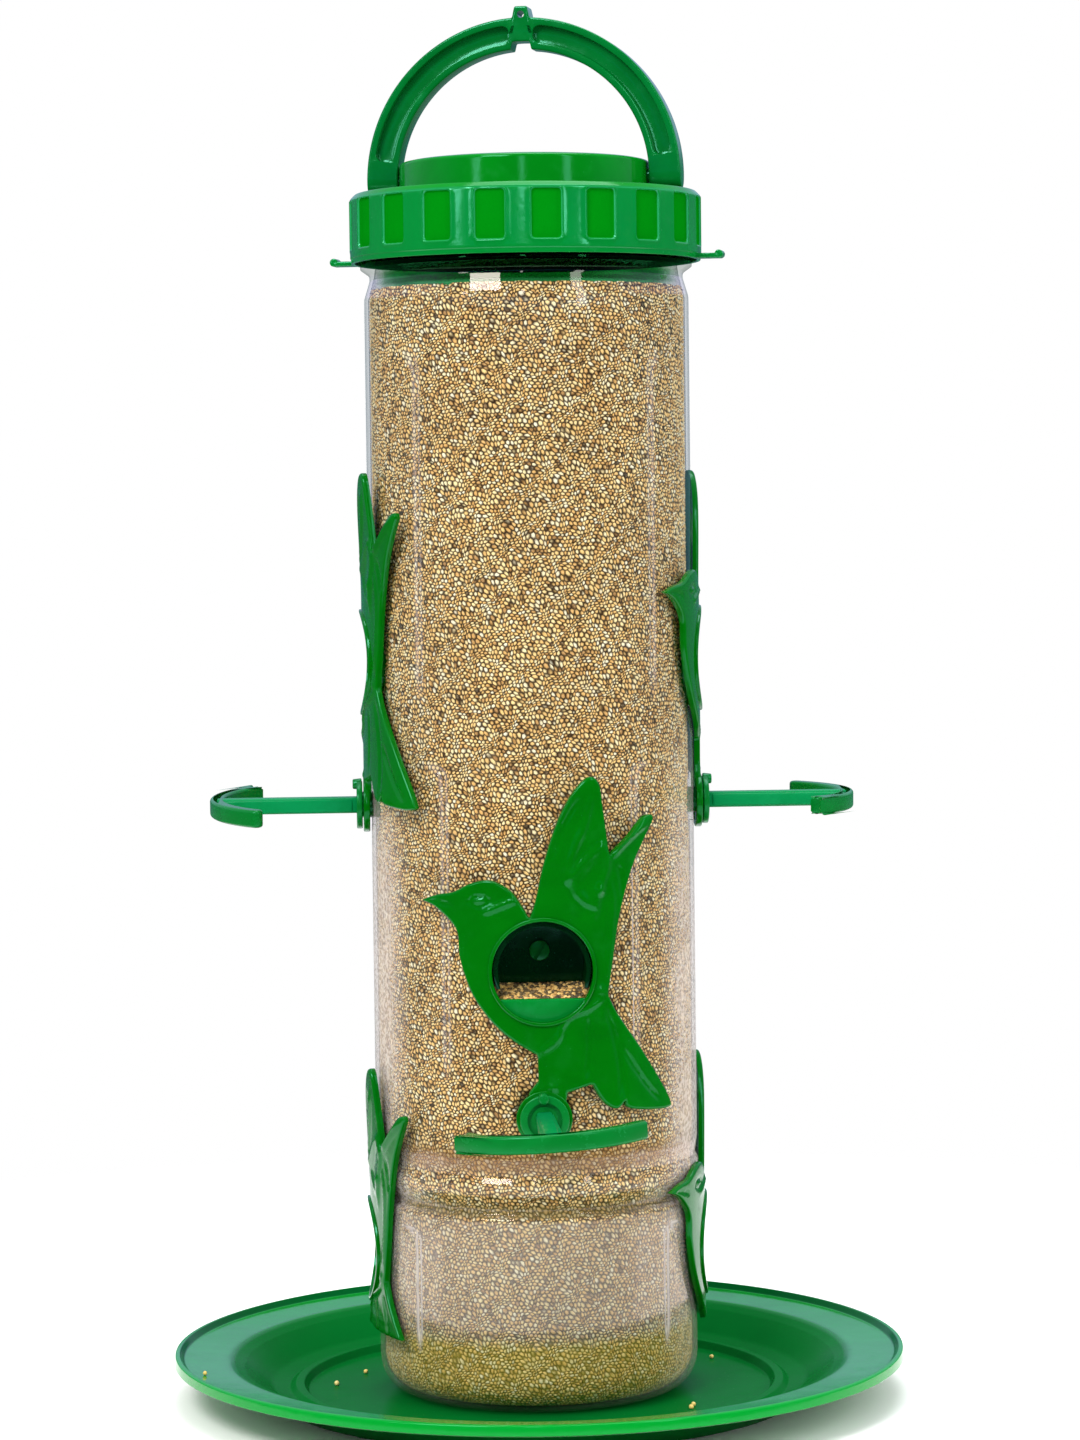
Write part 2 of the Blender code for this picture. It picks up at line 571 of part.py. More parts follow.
def build_handle():
    """Arch in the XZ plane with its pivot at the origin."""
    hump = math.degrees(math.asin(HUMP_W / 2 / HANDLE_OUT_R))
    outline = arc(0, 0, HANDLE_OUT_R, 0.0, 90.0 - hump, 12)
    outline += [(HUMP_W / 2 - 0.9, HANDLE_OUT_R + HUMP_H), (-HUMP_W / 2 + 0.9, HANDLE_OUT_R + HUMP_H)]
    outline += arc(0, 0, HANDLE_OUT_R, 90.0 + hump, 180.0, 12)
    notch = math.degrees(math.asin(4.2 / HANDLE_IN_R))
    outline += arc(0, 0, HANDLE_IN_R, 180.0, 90.0 + notch, 11)
    outline += [(-3.4, HANDLE_IN_R + 2.4), (3.4, HANDLE_IN_R + 2.4)]
    outline += arc(0, 0, HANDLE_IN_R, 90.0 - notch, 0.0, 11)
    upright = Matrix.Rotation(math.radians(90.0), 4, 'X')
    handle = flat_outline("handle", [outline], HANDLE_W, GREEN, cutter=False)
    handle.data.transform(upright)
    tools = []
    for side in (-1, 1):
        for face in (-1, 1):
            ring = arc(0, 0, HANDLE_OUT_R - HANDLE_RIM, 7.5, 90.0 - 4.5, 9)
            ring += arc(0, 0, HANDLE_IN_R + HANDLE_RIM, 90.0 - 5.2, 8.5, 9)
            if side < 0:
                ring = [(-x, z) for x, z in reversed(ring)]
            cut = flat_outline("handle_recess", [ring], HANDLE_W)
            cut.data.transform(Matrix.Translation((0, face * (HANDLE_WEB + HANDLE_W) / 2 * MM, 0))
                               @ upright)
            tools.append(('DIFFERENCE', cut))
        tools.append(('UNION', cylinder("handle_foot", HANDLE_W / 2 - 0.01,
                                        (side * (HANDLE_IN_R + 0.02), 0, 0),
                                        (side * (HANDLE_OUT_R - 0.02), 0, 0), 24)))
        tools.append(('UNION', cylinder("handle_pin", PIN_R, (side * 35.8, 0, 0),
                                        (side * (HANDLE_IN_R + 2.0), 0, 0), 14)))
    tools.append(('DIFFERENCE', cylinder("hang_hole", HANG_HOLE_R,
                                         (0, -8.0, HANDLE_OUT_R + 0.9), (0, 8.0, HANDLE_OUT_R + 0.9), 10)))
    handle = combine(handle, tools)
    handle.location = (0, 0, PIVOT_Z * MM)
    handle.rotation_euler = (0, 0, math.radians(LID_CLOCK))
    finish_shading(handle)
    return handle


# ---------------------------------------------------------------- tray and its bolt
def build_tray():
    rz = TRAY_RIM_Z
    profile = [(2.9, BOSS_TOP_Z), (14.0, BOSS_TOP_Z), (17.0, BOSS_TOP_Z - 0.6),
               (21.5, FLOOR_T), (71.8, FLOOR_T), (73.2, FLOOR_T + 2.4), (75.8, FLOOR_T + 2.4),
               (77.6, FLOOR_T + 1.0), (82.0, FLOOR_T + 2.4), (89.5, FLOOR_T + 8.4),
               (BOWL_R, FLOOR_T + 10.2), (TRAY_R - 3.0, rz - 1.9), (TRAY_R - 1.6, rz),
               (TRAY_R - 0.3, rz - 0.3), (TRAY_R, rz - 3.2), (TRAY_R - 1.6, rz - 3.8),
               (BOWL_R + 1.0, FLOOR_T + 8.3), (90.6, FLOOR_T + 6.4), (80.6, 0.0), (23.5, 0.0),
               (18.5, BOSS_TOP_Z - 1.8), (2.9, BOSS_TOP_Z - 1.8)]
    tray = lathe("tray", profile, TRAY_SEGMENTS, GREEN)
    finish_shading(tray)
    return tray


def build_bolt():
    head_r = HEAD_R
    profile = [(0.0, BOLT_TOP_Z), (BOLT_R - 0.5, BOLT_TOP_Z), (BOLT_R, BOLT_TOP_Z - 0.6),
               (BOLT_R, HEAD_Z1), (head_r, HEAD_Z1), (head_r, HEAD_Z1 - 1.4),
               (head_r - 1.4, HEAD_Z0 + 0.3), (head_r - 3.0, HEAD_Z0), (0.0, HEAD_Z0)]
    bolt = solid_lathe("tray_bolt", profile, 24, STEEL)
    slot = box("bolt_slot", (-5.0, -0.5, HEAD_Z0 - 1.0), (5.0, 0.5, HEAD_Z0 + 1.2))
    bolt = combine(bolt, [('DIFFERENCE', slot)])
    finish_shading(bolt)
    z = PUSHUP_Z + 1.4 + GAP
    washer = cylinder("tray_washer", WASHER_R, (0, 0, z), (0, 0, z + WASHER_T), 32, RUBBER,
                      cutter=False)
    bore = cylinder("washer_bore", 3.0, (0, 0, z - 5), (0, 0, z + 5), 24)
    washer = combine(washer, [('DIFFERENCE', bore)])
    finish_shading(washer)
    z = z + WASHER_T + GAP
    nut = cylinder("tray_nut", NUT_AF / math.sqrt(3), (0, 0, z), (0, 0, z + NUT_H), 6, STEEL,
                   cutter=False)
    bore = cylinder("nut_bore", BOLT_R + 0.3, (0, 0, z - 5), (0, 0, z + 8), 24)
    nut = combine(nut, [('DIFFERENCE', bore)])
    finish_shading(nut)


# ---------------------------------------------------------------- build everything
def place(mesh, name, turn, z):
    obj = bpy.data.objects.new(name, mesh)
    PARTS.objects.link(obj)
    obj.location = (0, 0, z * MM)
    obj.rotation_euler = (0, 0, math.radians(turn))
    return obj


def build():
    build_jar()
    port = build_port_mesh("port_with_foot", True)
    short = build_port_mesh("port_short", False)
    hood = build_hood_mesh("hood_shape")
    perch = build_perch_mesh("perch_shape")
    port_mesh, short_mesh, hood_mesh, perch_mesh = port.data, short.data, hood.data, perch.data
    for shape in (port, short, hood, perch):
        bpy.data.objects.remove(shape, do_unlink=True)
    for name, turn, level, has_perch in PORTS:
        place(port_mesh if has_perch else short_mesh, "port_" + name, turn, level)
        place(hood_mesh, "hood_" + name, turn, level)
        if has_perch:
            label = "perch_" + name.replace("_upper", "")
            obj = place(perch_mesh, label, turn, level - PERCH_DROP)
            roll = PERCH_ROLL[label.replace("perch_", "")]
            spot = turned_about_z((0, -COLLAR_AT * MM, (level - PERCH_DROP) * MM), turn)
            obj.matrix_world = Matrix.Translation(spot) @ \
                Matrix.Rotation(math.radians(turn), 4, 'Z') @ \
                Matrix.Rotation(math.radians(-roll), 4, 'Y')
    build_lid()
    build_seal()
    build_handle()
    build_tray()
    build_bolt()


build()
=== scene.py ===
"""Looks for the gravity game feeder: fine surfaces for every moulded piece, the millet it
holds, materials, floor, light and camera.  Metres, +Z up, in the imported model's frame."""
import math

import bpy
import bmesh
import numpy as np
from mathutils import Matrix, Vector
from mathutils.geometry import delaunay_2d_cdt


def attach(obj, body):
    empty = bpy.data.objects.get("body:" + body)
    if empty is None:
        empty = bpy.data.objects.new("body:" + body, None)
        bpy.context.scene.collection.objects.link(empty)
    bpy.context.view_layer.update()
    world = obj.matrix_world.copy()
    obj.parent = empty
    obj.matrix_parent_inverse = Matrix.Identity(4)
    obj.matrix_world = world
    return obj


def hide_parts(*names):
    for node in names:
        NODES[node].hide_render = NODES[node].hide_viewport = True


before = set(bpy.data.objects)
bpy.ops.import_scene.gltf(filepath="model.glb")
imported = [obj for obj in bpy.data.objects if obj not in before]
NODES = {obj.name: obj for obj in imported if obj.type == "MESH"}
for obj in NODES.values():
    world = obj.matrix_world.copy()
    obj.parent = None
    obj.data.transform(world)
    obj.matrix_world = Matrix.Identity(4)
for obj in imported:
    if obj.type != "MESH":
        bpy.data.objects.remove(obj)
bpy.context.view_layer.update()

MM = 0.001

# ================================================================= dimensions (mm)
JAR_R, JAR_WALL, JAR_BASE_Z, JAR_RIM_Z = 49.8, 1.2, 2.3, 367.4
NECK_R, FLANGE_R, FLANGE_Z = 48.0, 50.9, 349.2
GROOVE_R, GROOVE_Z, SHOULDER_Z = 48.0, 345.6, 340.0
WAIST_R, WAIST_Z, LOWER_R = 47.4, 64.2, 49.3
PUSHUP_R, PUSHUP_Z, BOLT_HOLE_R = 20.0, 7.5, 3.0
LEVEL = {"low": 46.0, "mid": 137.0, "high": 228.0}
HOLE_R, TUBE_R, JAR_HOLE_R = 15.1, 16.3, 16.7
PLATE_IN_R, PLATE_T, STAND_OFF, STAND_FROM, STAND_TO = 50.2, 1.9, 2.1, 20.0, 58.0
RIM_OUT_R, SPIGOT_IN_R, LIP_TOP, LOW_TRIM = 52.8, 43.6, -8.2, -23.5
HOOD_R, HOOD_T, HOOD_FRONT_R, HOOD_BACK_R, HOOD_OPEN = 14.7, 1.4, 48.6, 30.5, -5.2
PERCH_DROP, RING_R, RING_IN_R, RING_OUT_R = 44.0, 8.4, 50.25, 52.25
COLLAR_R, COLLAR_AT, COLLAR_T, PERCH_SPIGOT_R = 7.4, 52.55, 1.8, 4.0
KEY_R, KEY_W, KEY_H = 4.5, 4.2, 12.6
LUG_L, LUG_W, LUG_IN_R, LUG_OUT_R = 11.6, 3.4, 44.9, 47.3
ROD_W, ROD_H, BAR_APEX_R, BAR_HALF, BAR_BACK, BAR_T, BAR_H = 4.6, 4.8, 99.5, 27.3, 12.5, 4.2, 5.4
PERCH_ROLL = {"front": 3.0, "left": -4.0, "right": 1.5, "back": 0.0}
LID_SKIRT = 1.4
LID_R, LID_WALL, LID_Z0, LID_SHOULDER_Z, LID_TOP_Z, DISC_R = 53.9, 1.8, 350.0, 371.0, 380.8, 38.4
LID_CLOCK, GRIPS, GRIP_W, GRIP_D, GRIP_Z0, GRIP_Z1 = -14.0, 20, 9.4, 0.9, 354.0, 369.1
EAR_R, EAR_T, EAR_W = 60.2, 1.5, 6.0
PIVOT_Z, PIN_R, PIN_HOLE_R = 375.6, 2.2, 2.5
HANDLE_IN_R, HANDLE_OUT_R, HANDLE_W, HANDLE_RIM, HANDLE_WEB = 39.2, 48.9, 8.0, 2.2, 3.0
HANG_HOLE_R = 1.1
TRAY_R, TRAY_RIM_Z, BOWL_R, BOSS_TOP_Z, FLOOR_T = 113.3, 15.0, 96.2, 7.2, 2.0

PORTS = [("front", 0.0, "mid", True), ("back", 180.0, "mid", True),
         ("left_upper", -90.0, "high", True), ("right_upper", 90.0, "high", True),
         ("left_lower", -90.0, "low", False), ("right_lower", 90.0, "low", False)]


# ================================================================= node helpers
def N(t, kind, inputs=None, **props):
    n = t.nodes.new(kind)
    for k, v in props.items():
        setattr(n, k, v)
    for k, v in (inputs or {}).items():
        s = n.inputs[k]
        if isinstance(v, bpy.types.NodeSocket):
            t.links.new(v, s)
        else:
            s.default_value = v
    return n


def fresh(name):
    mat = bpy.data.materials.new(name)
    mat.use_nodes = True
    mat.node_tree.nodes.clear()
    return mat, mat.node_tree


def blend_rgb(t, fac, a, b, mode='MIX'):
    n = t.nodes.new('ShaderNodeMix')
    n.data_type = 'RGBA'
    n.blend_type = mode
    for idx, v in ((0, fac), (6, a), (7, b)):
        if isinstance(v, bpy.types.NodeSocket):
            t.links.new(v, n.inputs[idx])
        else:
            n.inputs[idx].default_value = v if idx == 0 else (*v[:3], 1.0)
    return n.outputs[2]


def rng(t, value, lo, hi, to_lo, to_hi, smooth=True):
    return N(t, 'ShaderNodeMapRange', {'Value': value, 'From Min': lo, 'From Max': hi,
                                       'To Min': to_lo, 'To Max': to_hi},
             interpolation_type='SMOOTHSTEP' if smooth else 'LINEAR', clamp=True).outputs[0]


def calc(t, op, a, b=0.0, c=0.0):
    n = t.nodes.new('ShaderNodeMath')
    n.operation = op
    for i, v in enumerate((a, b, c)):
        if isinstance(v, bpy.types.NodeSocket):
            t.links.new(v, n.inputs[i])
        elif i < len(n.inputs):
            n.inputs[i].default_value = v
    return n.outputs[0]


def finish_material(t, shader, bump=None):
    out = t.nodes.new('ShaderNodeOutputMaterial')
    t.links.new(shader, out.inputs['Surface'])


# ================================================================= materials
def moulded_plastic(name, base, deep, pale, rough=0.2, peel=1.0, scuff=1.0, spec=0.5,
                    sheen=(0.22, 0.80, 0.62), matt_and_painted_light_inside=0.0, panels=0.0):
    """Glossy injection-moulded plastic: faint flow marks in the colour, orange peel, and fine
    rubbed spots where the gloss is duller."""
    mat, t = fresh(name)
    co = N(t, 'ShaderNodeTexCoord').outputs['Object']
    flow = N(t, 'ShaderNodeTexNoise', {'Vector': co, 'Scale': 34.0, 'Detail': 3.0,
                                       'Roughness': 0.55, 'Distortion': 1.2}).outputs['Fac']
    cloud = N(t, 'ShaderNodeTexNoise', {'Vector': co, 'Scale': 150.0, 'Detail': 4.0,
                                        'Roughness': 0.6}).outputs['Fac']
    peel_n = N(t, 'ShaderNodeTexNoise', {'Vector': co, 'Scale': 520.0, 'Detail': 1.5,
                                         'Roughness': 0.5}).outputs['Fac']
    wave = N(t, 'ShaderNodeTexNoise', {'Vector': co, 'Scale': 70.0, 'Detail': 1.0}).outputs['Fac']
    dust = N(t, 'ShaderNodeTexVoronoi', {'Vector': co, 'Scale': 420.0, 'Randomness': 1.0},
             feature='F1').outputs['Distance']
    col = blend_rgb(t, rng(t, flow, 0.35, 0.65, 0.0, 1.0), base, deep)
    col = blend_rgb(t, rng(t, cloud, 0.52, 0.75, 0.0, 0.35), col, pale)
    rub = rng(t, cloud, 0.5, 0.72, 0.0, 0.10 * scuff)
    speck = rng(t, dust, 0.06, 0.11, 0.14 * scuff, 0.0)
    roughness = calc(t, 'ADD', calc(t, 'ADD', rub, rough), speck)
    height = calc(t, 'ADD', calc(t, 'MULTIPLY', peel_n, 0.00002 * peel),
                  calc(t, 'MULTIPLY', wave, 0.00012 * peel))
    bump = N(t, 'ShaderNodeBump', {'Height': height, 'Strength': 1.0, 'Distance': 1.0})
    if panels:
        # the grip panels are finely textured and duller; the ridges between them are glossier and get a painted teal
        # reflection, and the panels' edges a pale painted highlight
        flat = N(t, 'ShaderNodeVectorMath', {0: co, 1: (1.0, 1.0, 0.0)}, operation='MULTIPLY').outputs[0]
        radius = N(t, 'ShaderNodeVectorMath', {0: flat}, operation='LENGTH').outputs['Value']
        z = N(t, 'ShaderNodeSeparateXYZ', {'Vector': co}).outputs[2]
        band = calc(t, 'MULTIPLY', rng(t, z, 0.3532, 0.3540, 0.0, 1.0), rng(t, z, 0.3690, 0.3696, 1.0, 0.0))
        face = calc(t, 'MULTIPLY', band, rng(t, radius, panels - 0.00062, panels - 0.00040, 1.0, 0.0))
        rim = calc(t, 'MULTIPLY', band, calc(t, 'MULTIPLY', rng(t, radius, panels - 0.00060, panels - 0.00035, 0.0, 1.0),
                                             rng(t, radius, panels - 0.00008, panels - 0.00001, 1.0, 0.0)))
        outer = calc(t, 'MULTIPLY', rng(t, radius, panels - 0.0006, panels - 0.0002, 0.0, 1.0),
                     rng(t, z, 0.3705, 0.3712, 1.0, 0.0))
        spec = calc(t, 'ADD', calc(t, 'SUBTRACT', spec, calc(t, 'MULTIPLY', face, 0.30)),
                    calc(t, 'MULTIPLY', outer, 0.55))
        # painted reflection: the outer ridges of the skirt are tinted teal
        col = blend_rgb(t, calc(t, 'MULTIPLY', outer, 0.55), col, (0.0006, 0.178, 0.034))
        col = blend_rgb(t, calc(t, 'MULTIPLY', face, 0.75), col, (0.0003, 0.180, 0.003))
        # painted highlight: pale teal edges round every grip panel
        col = blend_rgb(t, calc(t, 'MULTIPLY', rim, 0.75), col, (0.02, 0.31, 0.11))
    if matt_and_painted_light_inside:
        # the inside of the dish is rubbed dull by seed and wiping, and its colour is darkened there as painted shade
        flat = N(t, 'ShaderNodeVectorMath', {0: co, 1: (1.0, 1.0, 0.0)}, operation='MULTIPLY').outputs[0]
        radius = N(t, 'ShaderNodeVectorMath', {0: flat}, operation='LENGTH').outputs['Value']
        dull = calc(t, 'MULTIPLY', rng(t, radius, 0.086, 0.092, 1.0, 0.985),
                    rng(t, radius, matt_and_painted_light_inside - 0.002, matt_and_painted_light_inside + 0.002, 1.0, 0.0))
        roughness = calc(t, 'ADD', roughness, calc(t, 'MULTIPLY', dull, 0.08))
        spec = calc(t, 'SUBTRACT', spec, calc(t, 'MULTIPLY', dull, 0.436))
        # painted shade: a darker green over the dish
        col = blend_rgb(t, calc(t, 'MULTIPLY', dull, 0.85), col, (0.001, 0.098, 0.016))
        # painted light: the rim's outer edge is a brighter green, as if lit from the front
        edge = rng(t, radius, 0.1118, 0.1128, 0.0, 1.0)
        col = blend_rgb(t, edge, col, (0.0006, 0.235, 0.018))
        # the rim's turned-up edge is in shade on the side that faces the jar
        lean = N(t, 'ShaderNodeVectorMath', {0: N(t, 'ShaderNodeTexCoord').outputs['Normal'], 1: flat},
                 operation='DOT_PRODUCT').outputs['Value']
        lean = calc(t, 'DIVIDE', lean, calc(t, 'MAXIMUM', radius, 0.001))
        lean = calc(t, 'MULTIPLY', rng(t, lean, -0.62, -0.25, 1.0, 0.0), rng(t, radius, 0.1085, 0.1098, 0.0, 1.0))
        col = blend_rgb(t, calc(t, 'MULTIPLY', lean, 0.9), col, (0.0003, 0.072, 0.014))
        spec = calc(t, 'MULTIPLY', spec, calc(t, 'SUBTRACT', 1.0, calc(t, 'MULTIPLY', lean, 0.8)))
    bsdf = N(t, 'ShaderNodeBsdfPrincipled', {'Base Color': col, 'Roughness': roughness,
                                             'Normal': bump.outputs[0], 'IOR': 1.49,
                                             'Specular IOR Level': spec,
                                             'Specular Tint': (*sheen, 1.0)})
    finish_material(t, bsdf.outputs[0])
    return mat


def clear_pet(name):
    """Thin blown PET: see-through with a faint cool tint, mirrored by its Fresnel reflection,
    with slow waviness from blowing and fine mould lines."""
    mat, t = fresh(name)
    co = N(t, 'ShaderNodeTexCoord').outputs['Object']
    slow = N(t, 'ShaderNodeTexNoise', {'Vector': N(t, 'ShaderNodeMapping', {'Vector': co,
                                       'Scale': (1.0, 1.0, 0.25)}).outputs[0],
                                       'Scale': 60.0, 'Detail': 2.0}).outputs['Fac']
    fine = N(t, 'ShaderNodeTexNoise', {'Vector': co, 'Scale': 330.0, 'Detail': 2.0}).outputs['Fac']
    smear = N(t, 'ShaderNodeTexNoise', {'Vector': co, 'Scale': 25.0, 'Detail': 5.0,
                                        'Roughness': 0.65}).outputs['Fac']
    height = calc(t, 'ADD', calc(t, 'MULTIPLY', slow, 0.00055),
                  calc(t, 'MULTIPLY', fine, 0.000012))
    bump = N(t, 'ShaderNodeBump', {'Height': height, 'Strength': 1.0, 'Distance': 1.0})
    back = N(t, 'ShaderNodeNewGeometry').outputs['Backfacing']
    facing = N(t, 'ShaderNodeLayerWeight', {'Blend': 0.5, 'Normal': bump.outputs[0]})
    fres = N(t, 'ShaderNodeFresnel', {'IOR': 1.5, 'Normal': bump.outputs[0]}).outputs[0]
    front = calc(t, 'SUBTRACT', 1.0, calc(t, 'MULTIPLY', back, 0.9))
    fac = calc(t, 'MULTIPLY', calc(t, 'MINIMUM', fres, 0.5), front)
    rough = rng(t, smear, 0.45, 0.75, 0.035, 0.13)
    edge = calc(t, 'POWER', facing.outputs['Facing'], 4.0)
    tint = blend_rgb(t, edge, (0.985, 0.982, 0.99), (0.84, 0.83, 0.86))
    # the thick neck is painted green with streaks, a painted reflection of the lid that it sits in, except at its thin
    # rims
    z = N(t, 'ShaderNodeSeparateXYZ', {'Vector': co}).outputs[2]
    neck_reflection_mask = calc(t, 'MULTIPLY', rng(t, z, 0.3418, 0.3432, 0.0, 1.0), rng(t, z, 0.3690, 0.3710, 1.0, 0.0))
    neck_reflection_mask = calc(t, 'MULTIPLY', neck_reflection_mask, rng(t, facing.outputs['Facing'], 0.42, 0.86, 1.0, 0.0))
    neck_reflection_mask = calc(t, 'MULTIPLY', neck_reflection_mask, front)
    lid_reflection_streak = N(t, 'ShaderNodeTexNoise', {'Vector': N(t, 'ShaderNodeMapping', {'Vector': co,
                                         'Scale': (0.25, 0.25, 3.0)}).outputs[0],
                                         'Scale': 130.0, 'Detail': 2.0}).outputs['Fac']
    painted_lid_reflection = blend_rgb(t, rng(t, lid_reflection_streak, 0.42, 0.62, 0.0, 1.0), (0.02, 0.22, 0.055), (0.05, 0.40, 0.13))
    tint = blend_rgb(t, neck_reflection_mask, tint, painted_lid_reflection)
    see = N(t, 'ShaderNodeBsdfTransparent', {'Color': tint})
    # painted reflection: above the neck groove the gloss is tinted lid green
    inside = rng(t, z, 0.3452, 0.3466, 0.0, 1.0)
    gloss = N(t, 'ShaderNodeBsdfGlossy', {'Color': blend_rgb(t, inside, (0.95, 0.83, 0.80), (0.03, 0.34, 0.10)),
                                          'Roughness': rough, 'Normal': bump.outputs[0]})
    mix = N(t, 'ShaderNodeMixShader', {0: fac, 1: see.outputs[0], 2: gloss.outputs[0]})
    # light caught along the edges of the flutes
    crease = N(t, 'ShaderNodeAttribute', attribute_name="crease").outputs['Fac']
    caught = N(t, 'ShaderNodeBsdfTranslucent', {'Color': (0.86, 0.82, 0.88, 1)})
    lit = N(t, 'ShaderNodeBsdfDiffuse', {'Color': (0.80, 0.76, 0.82, 1)})
    caught = N(t, 'ShaderNodeMixShader', {0: 0.6, 1: caught.outputs[0], 2: lit.outputs[0]})
    mix = N(t, 'ShaderNodeMixShader', {0: calc(t, 'MULTIPLY', calc(t, 'MULTIPLY', crease, 0.60), front),
                                       1: mix.outputs[0], 2: caught.outputs[0]})
    # towards its outline the lower jar is painted a pale mottled grey, a painted reflection at its grazing edges
    edge_reflection_band = calc(t, 'MULTIPLY', rng(t, z, 0.150, 0.215, 1.0, 0.0), rng(t, z, 0.030, 0.070, 0.35, 1.0))
    painted_edge_reflection = calc(t, 'MULTIPLY', rng(t, N(t, 'ShaderNodeLayerWeight', {'Blend': 0.5}).outputs['Facing'],
                                    0.34, 0.62, 0.0, 1.0), edge_reflection_band)
    painted_edge_reflection = calc(t, 'MULTIPLY', painted_edge_reflection, rng(t, smear, 0.35, 0.65, 0.34, 0.56))
    grit = N(t, 'ShaderNodeTexNoise', {'Vector': co, 'Scale': 900.0, 'Detail': 2.0}).outputs['Fac']
    edge_reflection_shader = N(t, 'ShaderNodeBsdfDiffuse', {'Color': blend_rgb(t, rng(t, grit, 0.40, 0.60, 0.0, 1.0),
                                                             (0.44, 0.37, 0.34), (0.74, 0.66, 0.62))})
    mix = N(t, 'ShaderNodeMixShader', {0: calc(t, 'MULTIPLY', painted_edge_reflection, front), 1: mix.outputs[0],
                                       2: edge_reflection_shader.outputs[0]})
    finish_material(t, mix.outputs[0])
    return mat


def millet(name):
    """Millet grains: each its own straw tint, painted dark in the gaps as shade, a dull sheen on every round top."""
    mat, t = fresh(name)
    co = N(t, 'ShaderNodeTexCoord').outputs['Object']
    tint = N(t, 'ShaderNodeAttribute', attribute_name="tint").outputs['Fac']
    dome = N(t, 'ShaderNodeAttribute', attribute_name="dome").outputs['Fac']
    skin = N(t, 'ShaderNodeTexNoise', {'Vector': co, 'Scale': 2400.0, 'Detail': 2.0}).outputs['Fac']
    patch = N(t, 'ShaderNodeTexNoise', {'Vector': co, 'Scale': 45.0, 'Detail': 3.0}).outputs['Fac']
    ramp = N(t, 'ShaderNodeValToRGB', {'Fac': tint})
    stops = [(0.0, (0.016, 0.010, 0.005)), (0.006, (0.04, 0.022, 0.008)), (0.012, (0.34, 0.165, 0.04)),
             (0.12, (0.72, 0.40, 0.105)), (0.45, (1.0, 0.665, 0.225)), (0.8, (1.0, 0.84, 0.42)),
             (1.0, (1.0, 0.96, 0.70))]
    el = ramp.color_ramp.elements
    el[0].position, el[0].color = stops[0][0], (*stops[0][1], 1)
    el[1].position, el[1].color = stops[-1][0], (*stops[-1][1], 1)
    for pos, c in stops[1:-1]:
        e = el.new(pos)
        e.color = (*c, 1)
    round_top = calc(t, 'SQRT', calc(t, 'MAXIMUM', calc(t, 'SUBTRACT', 1.0, calc(
        t, 'POWER', calc(t, 'SUBTRACT', 1.0, dome), 2.0)), 0.0))
    col = blend_rgb(t, rng(t, skin, 0.35, 0.7, 0.0, 0.2), ramp.outputs[0], (0.97, 0.80, 0.50))
    col = blend_rgb(t, rng(t, patch, 0.38, 0.66, 0.0, 0.20), col, (0.46, 0.27, 0.085))
    # painted shade: the gaps between grains and the sunken grains are darkened
    col = blend_rgb(t, rng(t, dome, 0.08, 0.70, 0.0, 1.0), (0.040, 0.017, 0.004), col)
    # grains pressed together in the jar's waist lie in its shade
    z = N(t, 'ShaderNodeSeparateXYZ', {'Vector': co}).outputs[2]
    above = calc(t, 'MULTIPLY', rng(t, z, 0.0745, 0.0775, 0.0, 1.0), rng(t, z, 0.0800, 0.0850, 1.0, 0.0))
    line = calc(t, 'MULTIPLY', rng(t, z, 0.0612, 0.0626, 0.0, 1.0), rng(t, z, 0.0644, 0.0668, 1.0, 0.0))
    col = blend_rgb(t, calc(t, 'MULTIPLY', above, 0.62), col, (0.24, 0.102, 0.012))
    col = blend_rgb(t, calc(t, 'MULTIPLY', line, 0.62), col, (0.13, 0.105, 0.022))
    # below the waist a pale grey veil is painted over the grains, a painted reflection on the lower jar
    low = calc(t, 'MULTIPLY', rng(t, z, 0.0604, 0.0619, 1.0, 0.0), rng(t, z, 0.0215, 0.0265, 0.0, 1.0))
    col = blend_rgb(t, calc(t, 'MULTIPLY', low, 0.38), col, (0.36, 0.32, 0.27))
    # painted reflection: the grains at the jar's foot are tinted olive by the green tray below
    foot = rng(t, z, 0.0215, 0.0265, 1.0, 0.0)
    col = blend_rgb(t, calc(t, 'MULTIPLY', foot, 0.40), col, (0.46, 0.39, 0.04))
    height = calc(t, 'ADD', calc(t, 'MULTIPLY', round_top, 0.0005),
                  calc(t, 'MULTIPLY', skin, 0.000025))
    bump = N(t, 'ShaderNodeBump', {'Height': height, 'Strength': 0.9, 'Distance': 1.0})
    bsdf = N(t, 'ShaderNodeBsdfPrincipled', {'Base Color': col, 'Roughness': 0.38,
                                             'Normal': bump.outputs[0],
                                             'Specular IOR Level': 0.4,
                                             'Specular Tint': (1.0, 0.9, 0.7, 1.0)})
    finish_material(t, bsdf.outputs[0])
    return mat


def foam(name):
    mat, t = fresh(name)
    co = N(t, 'ShaderNodeTexCoord').outputs['Object']
    cells = N(t, 'ShaderNodeTexVoronoi', {'Vector': co, 'Scale': 2200.0}, feature='F1').outputs['Distance']
    soft = N(t, 'ShaderNodeTexNoise', {'Vector': co, 'Scale': 60.0, 'Detail': 3.0}).outputs['Fac']
    col = blend_rgb(t, rng(t, cells, 0.1, 0.5, 0.0, 1.0), (0.62, 0.62, 0.58), (0.88, 0.88, 0.85))
    col = blend_rgb(t, rng(t, soft, 0.4, 0.7, 0.0, 0.3), col, (0.78, 0.76, 0.70))
    bump = N(t, 'ShaderNodeBump', {'Height': cells, 'Strength': 0.4, 'Distance': 0.0003})
    bsdf = N(t, 'ShaderNodeBsdfPrincipled', {'Base Color': col, 'Roughness': 0.88,
                                             'Normal': bump.outputs[0]})
    finish_material(t, bsdf.outputs[0])
    return mat


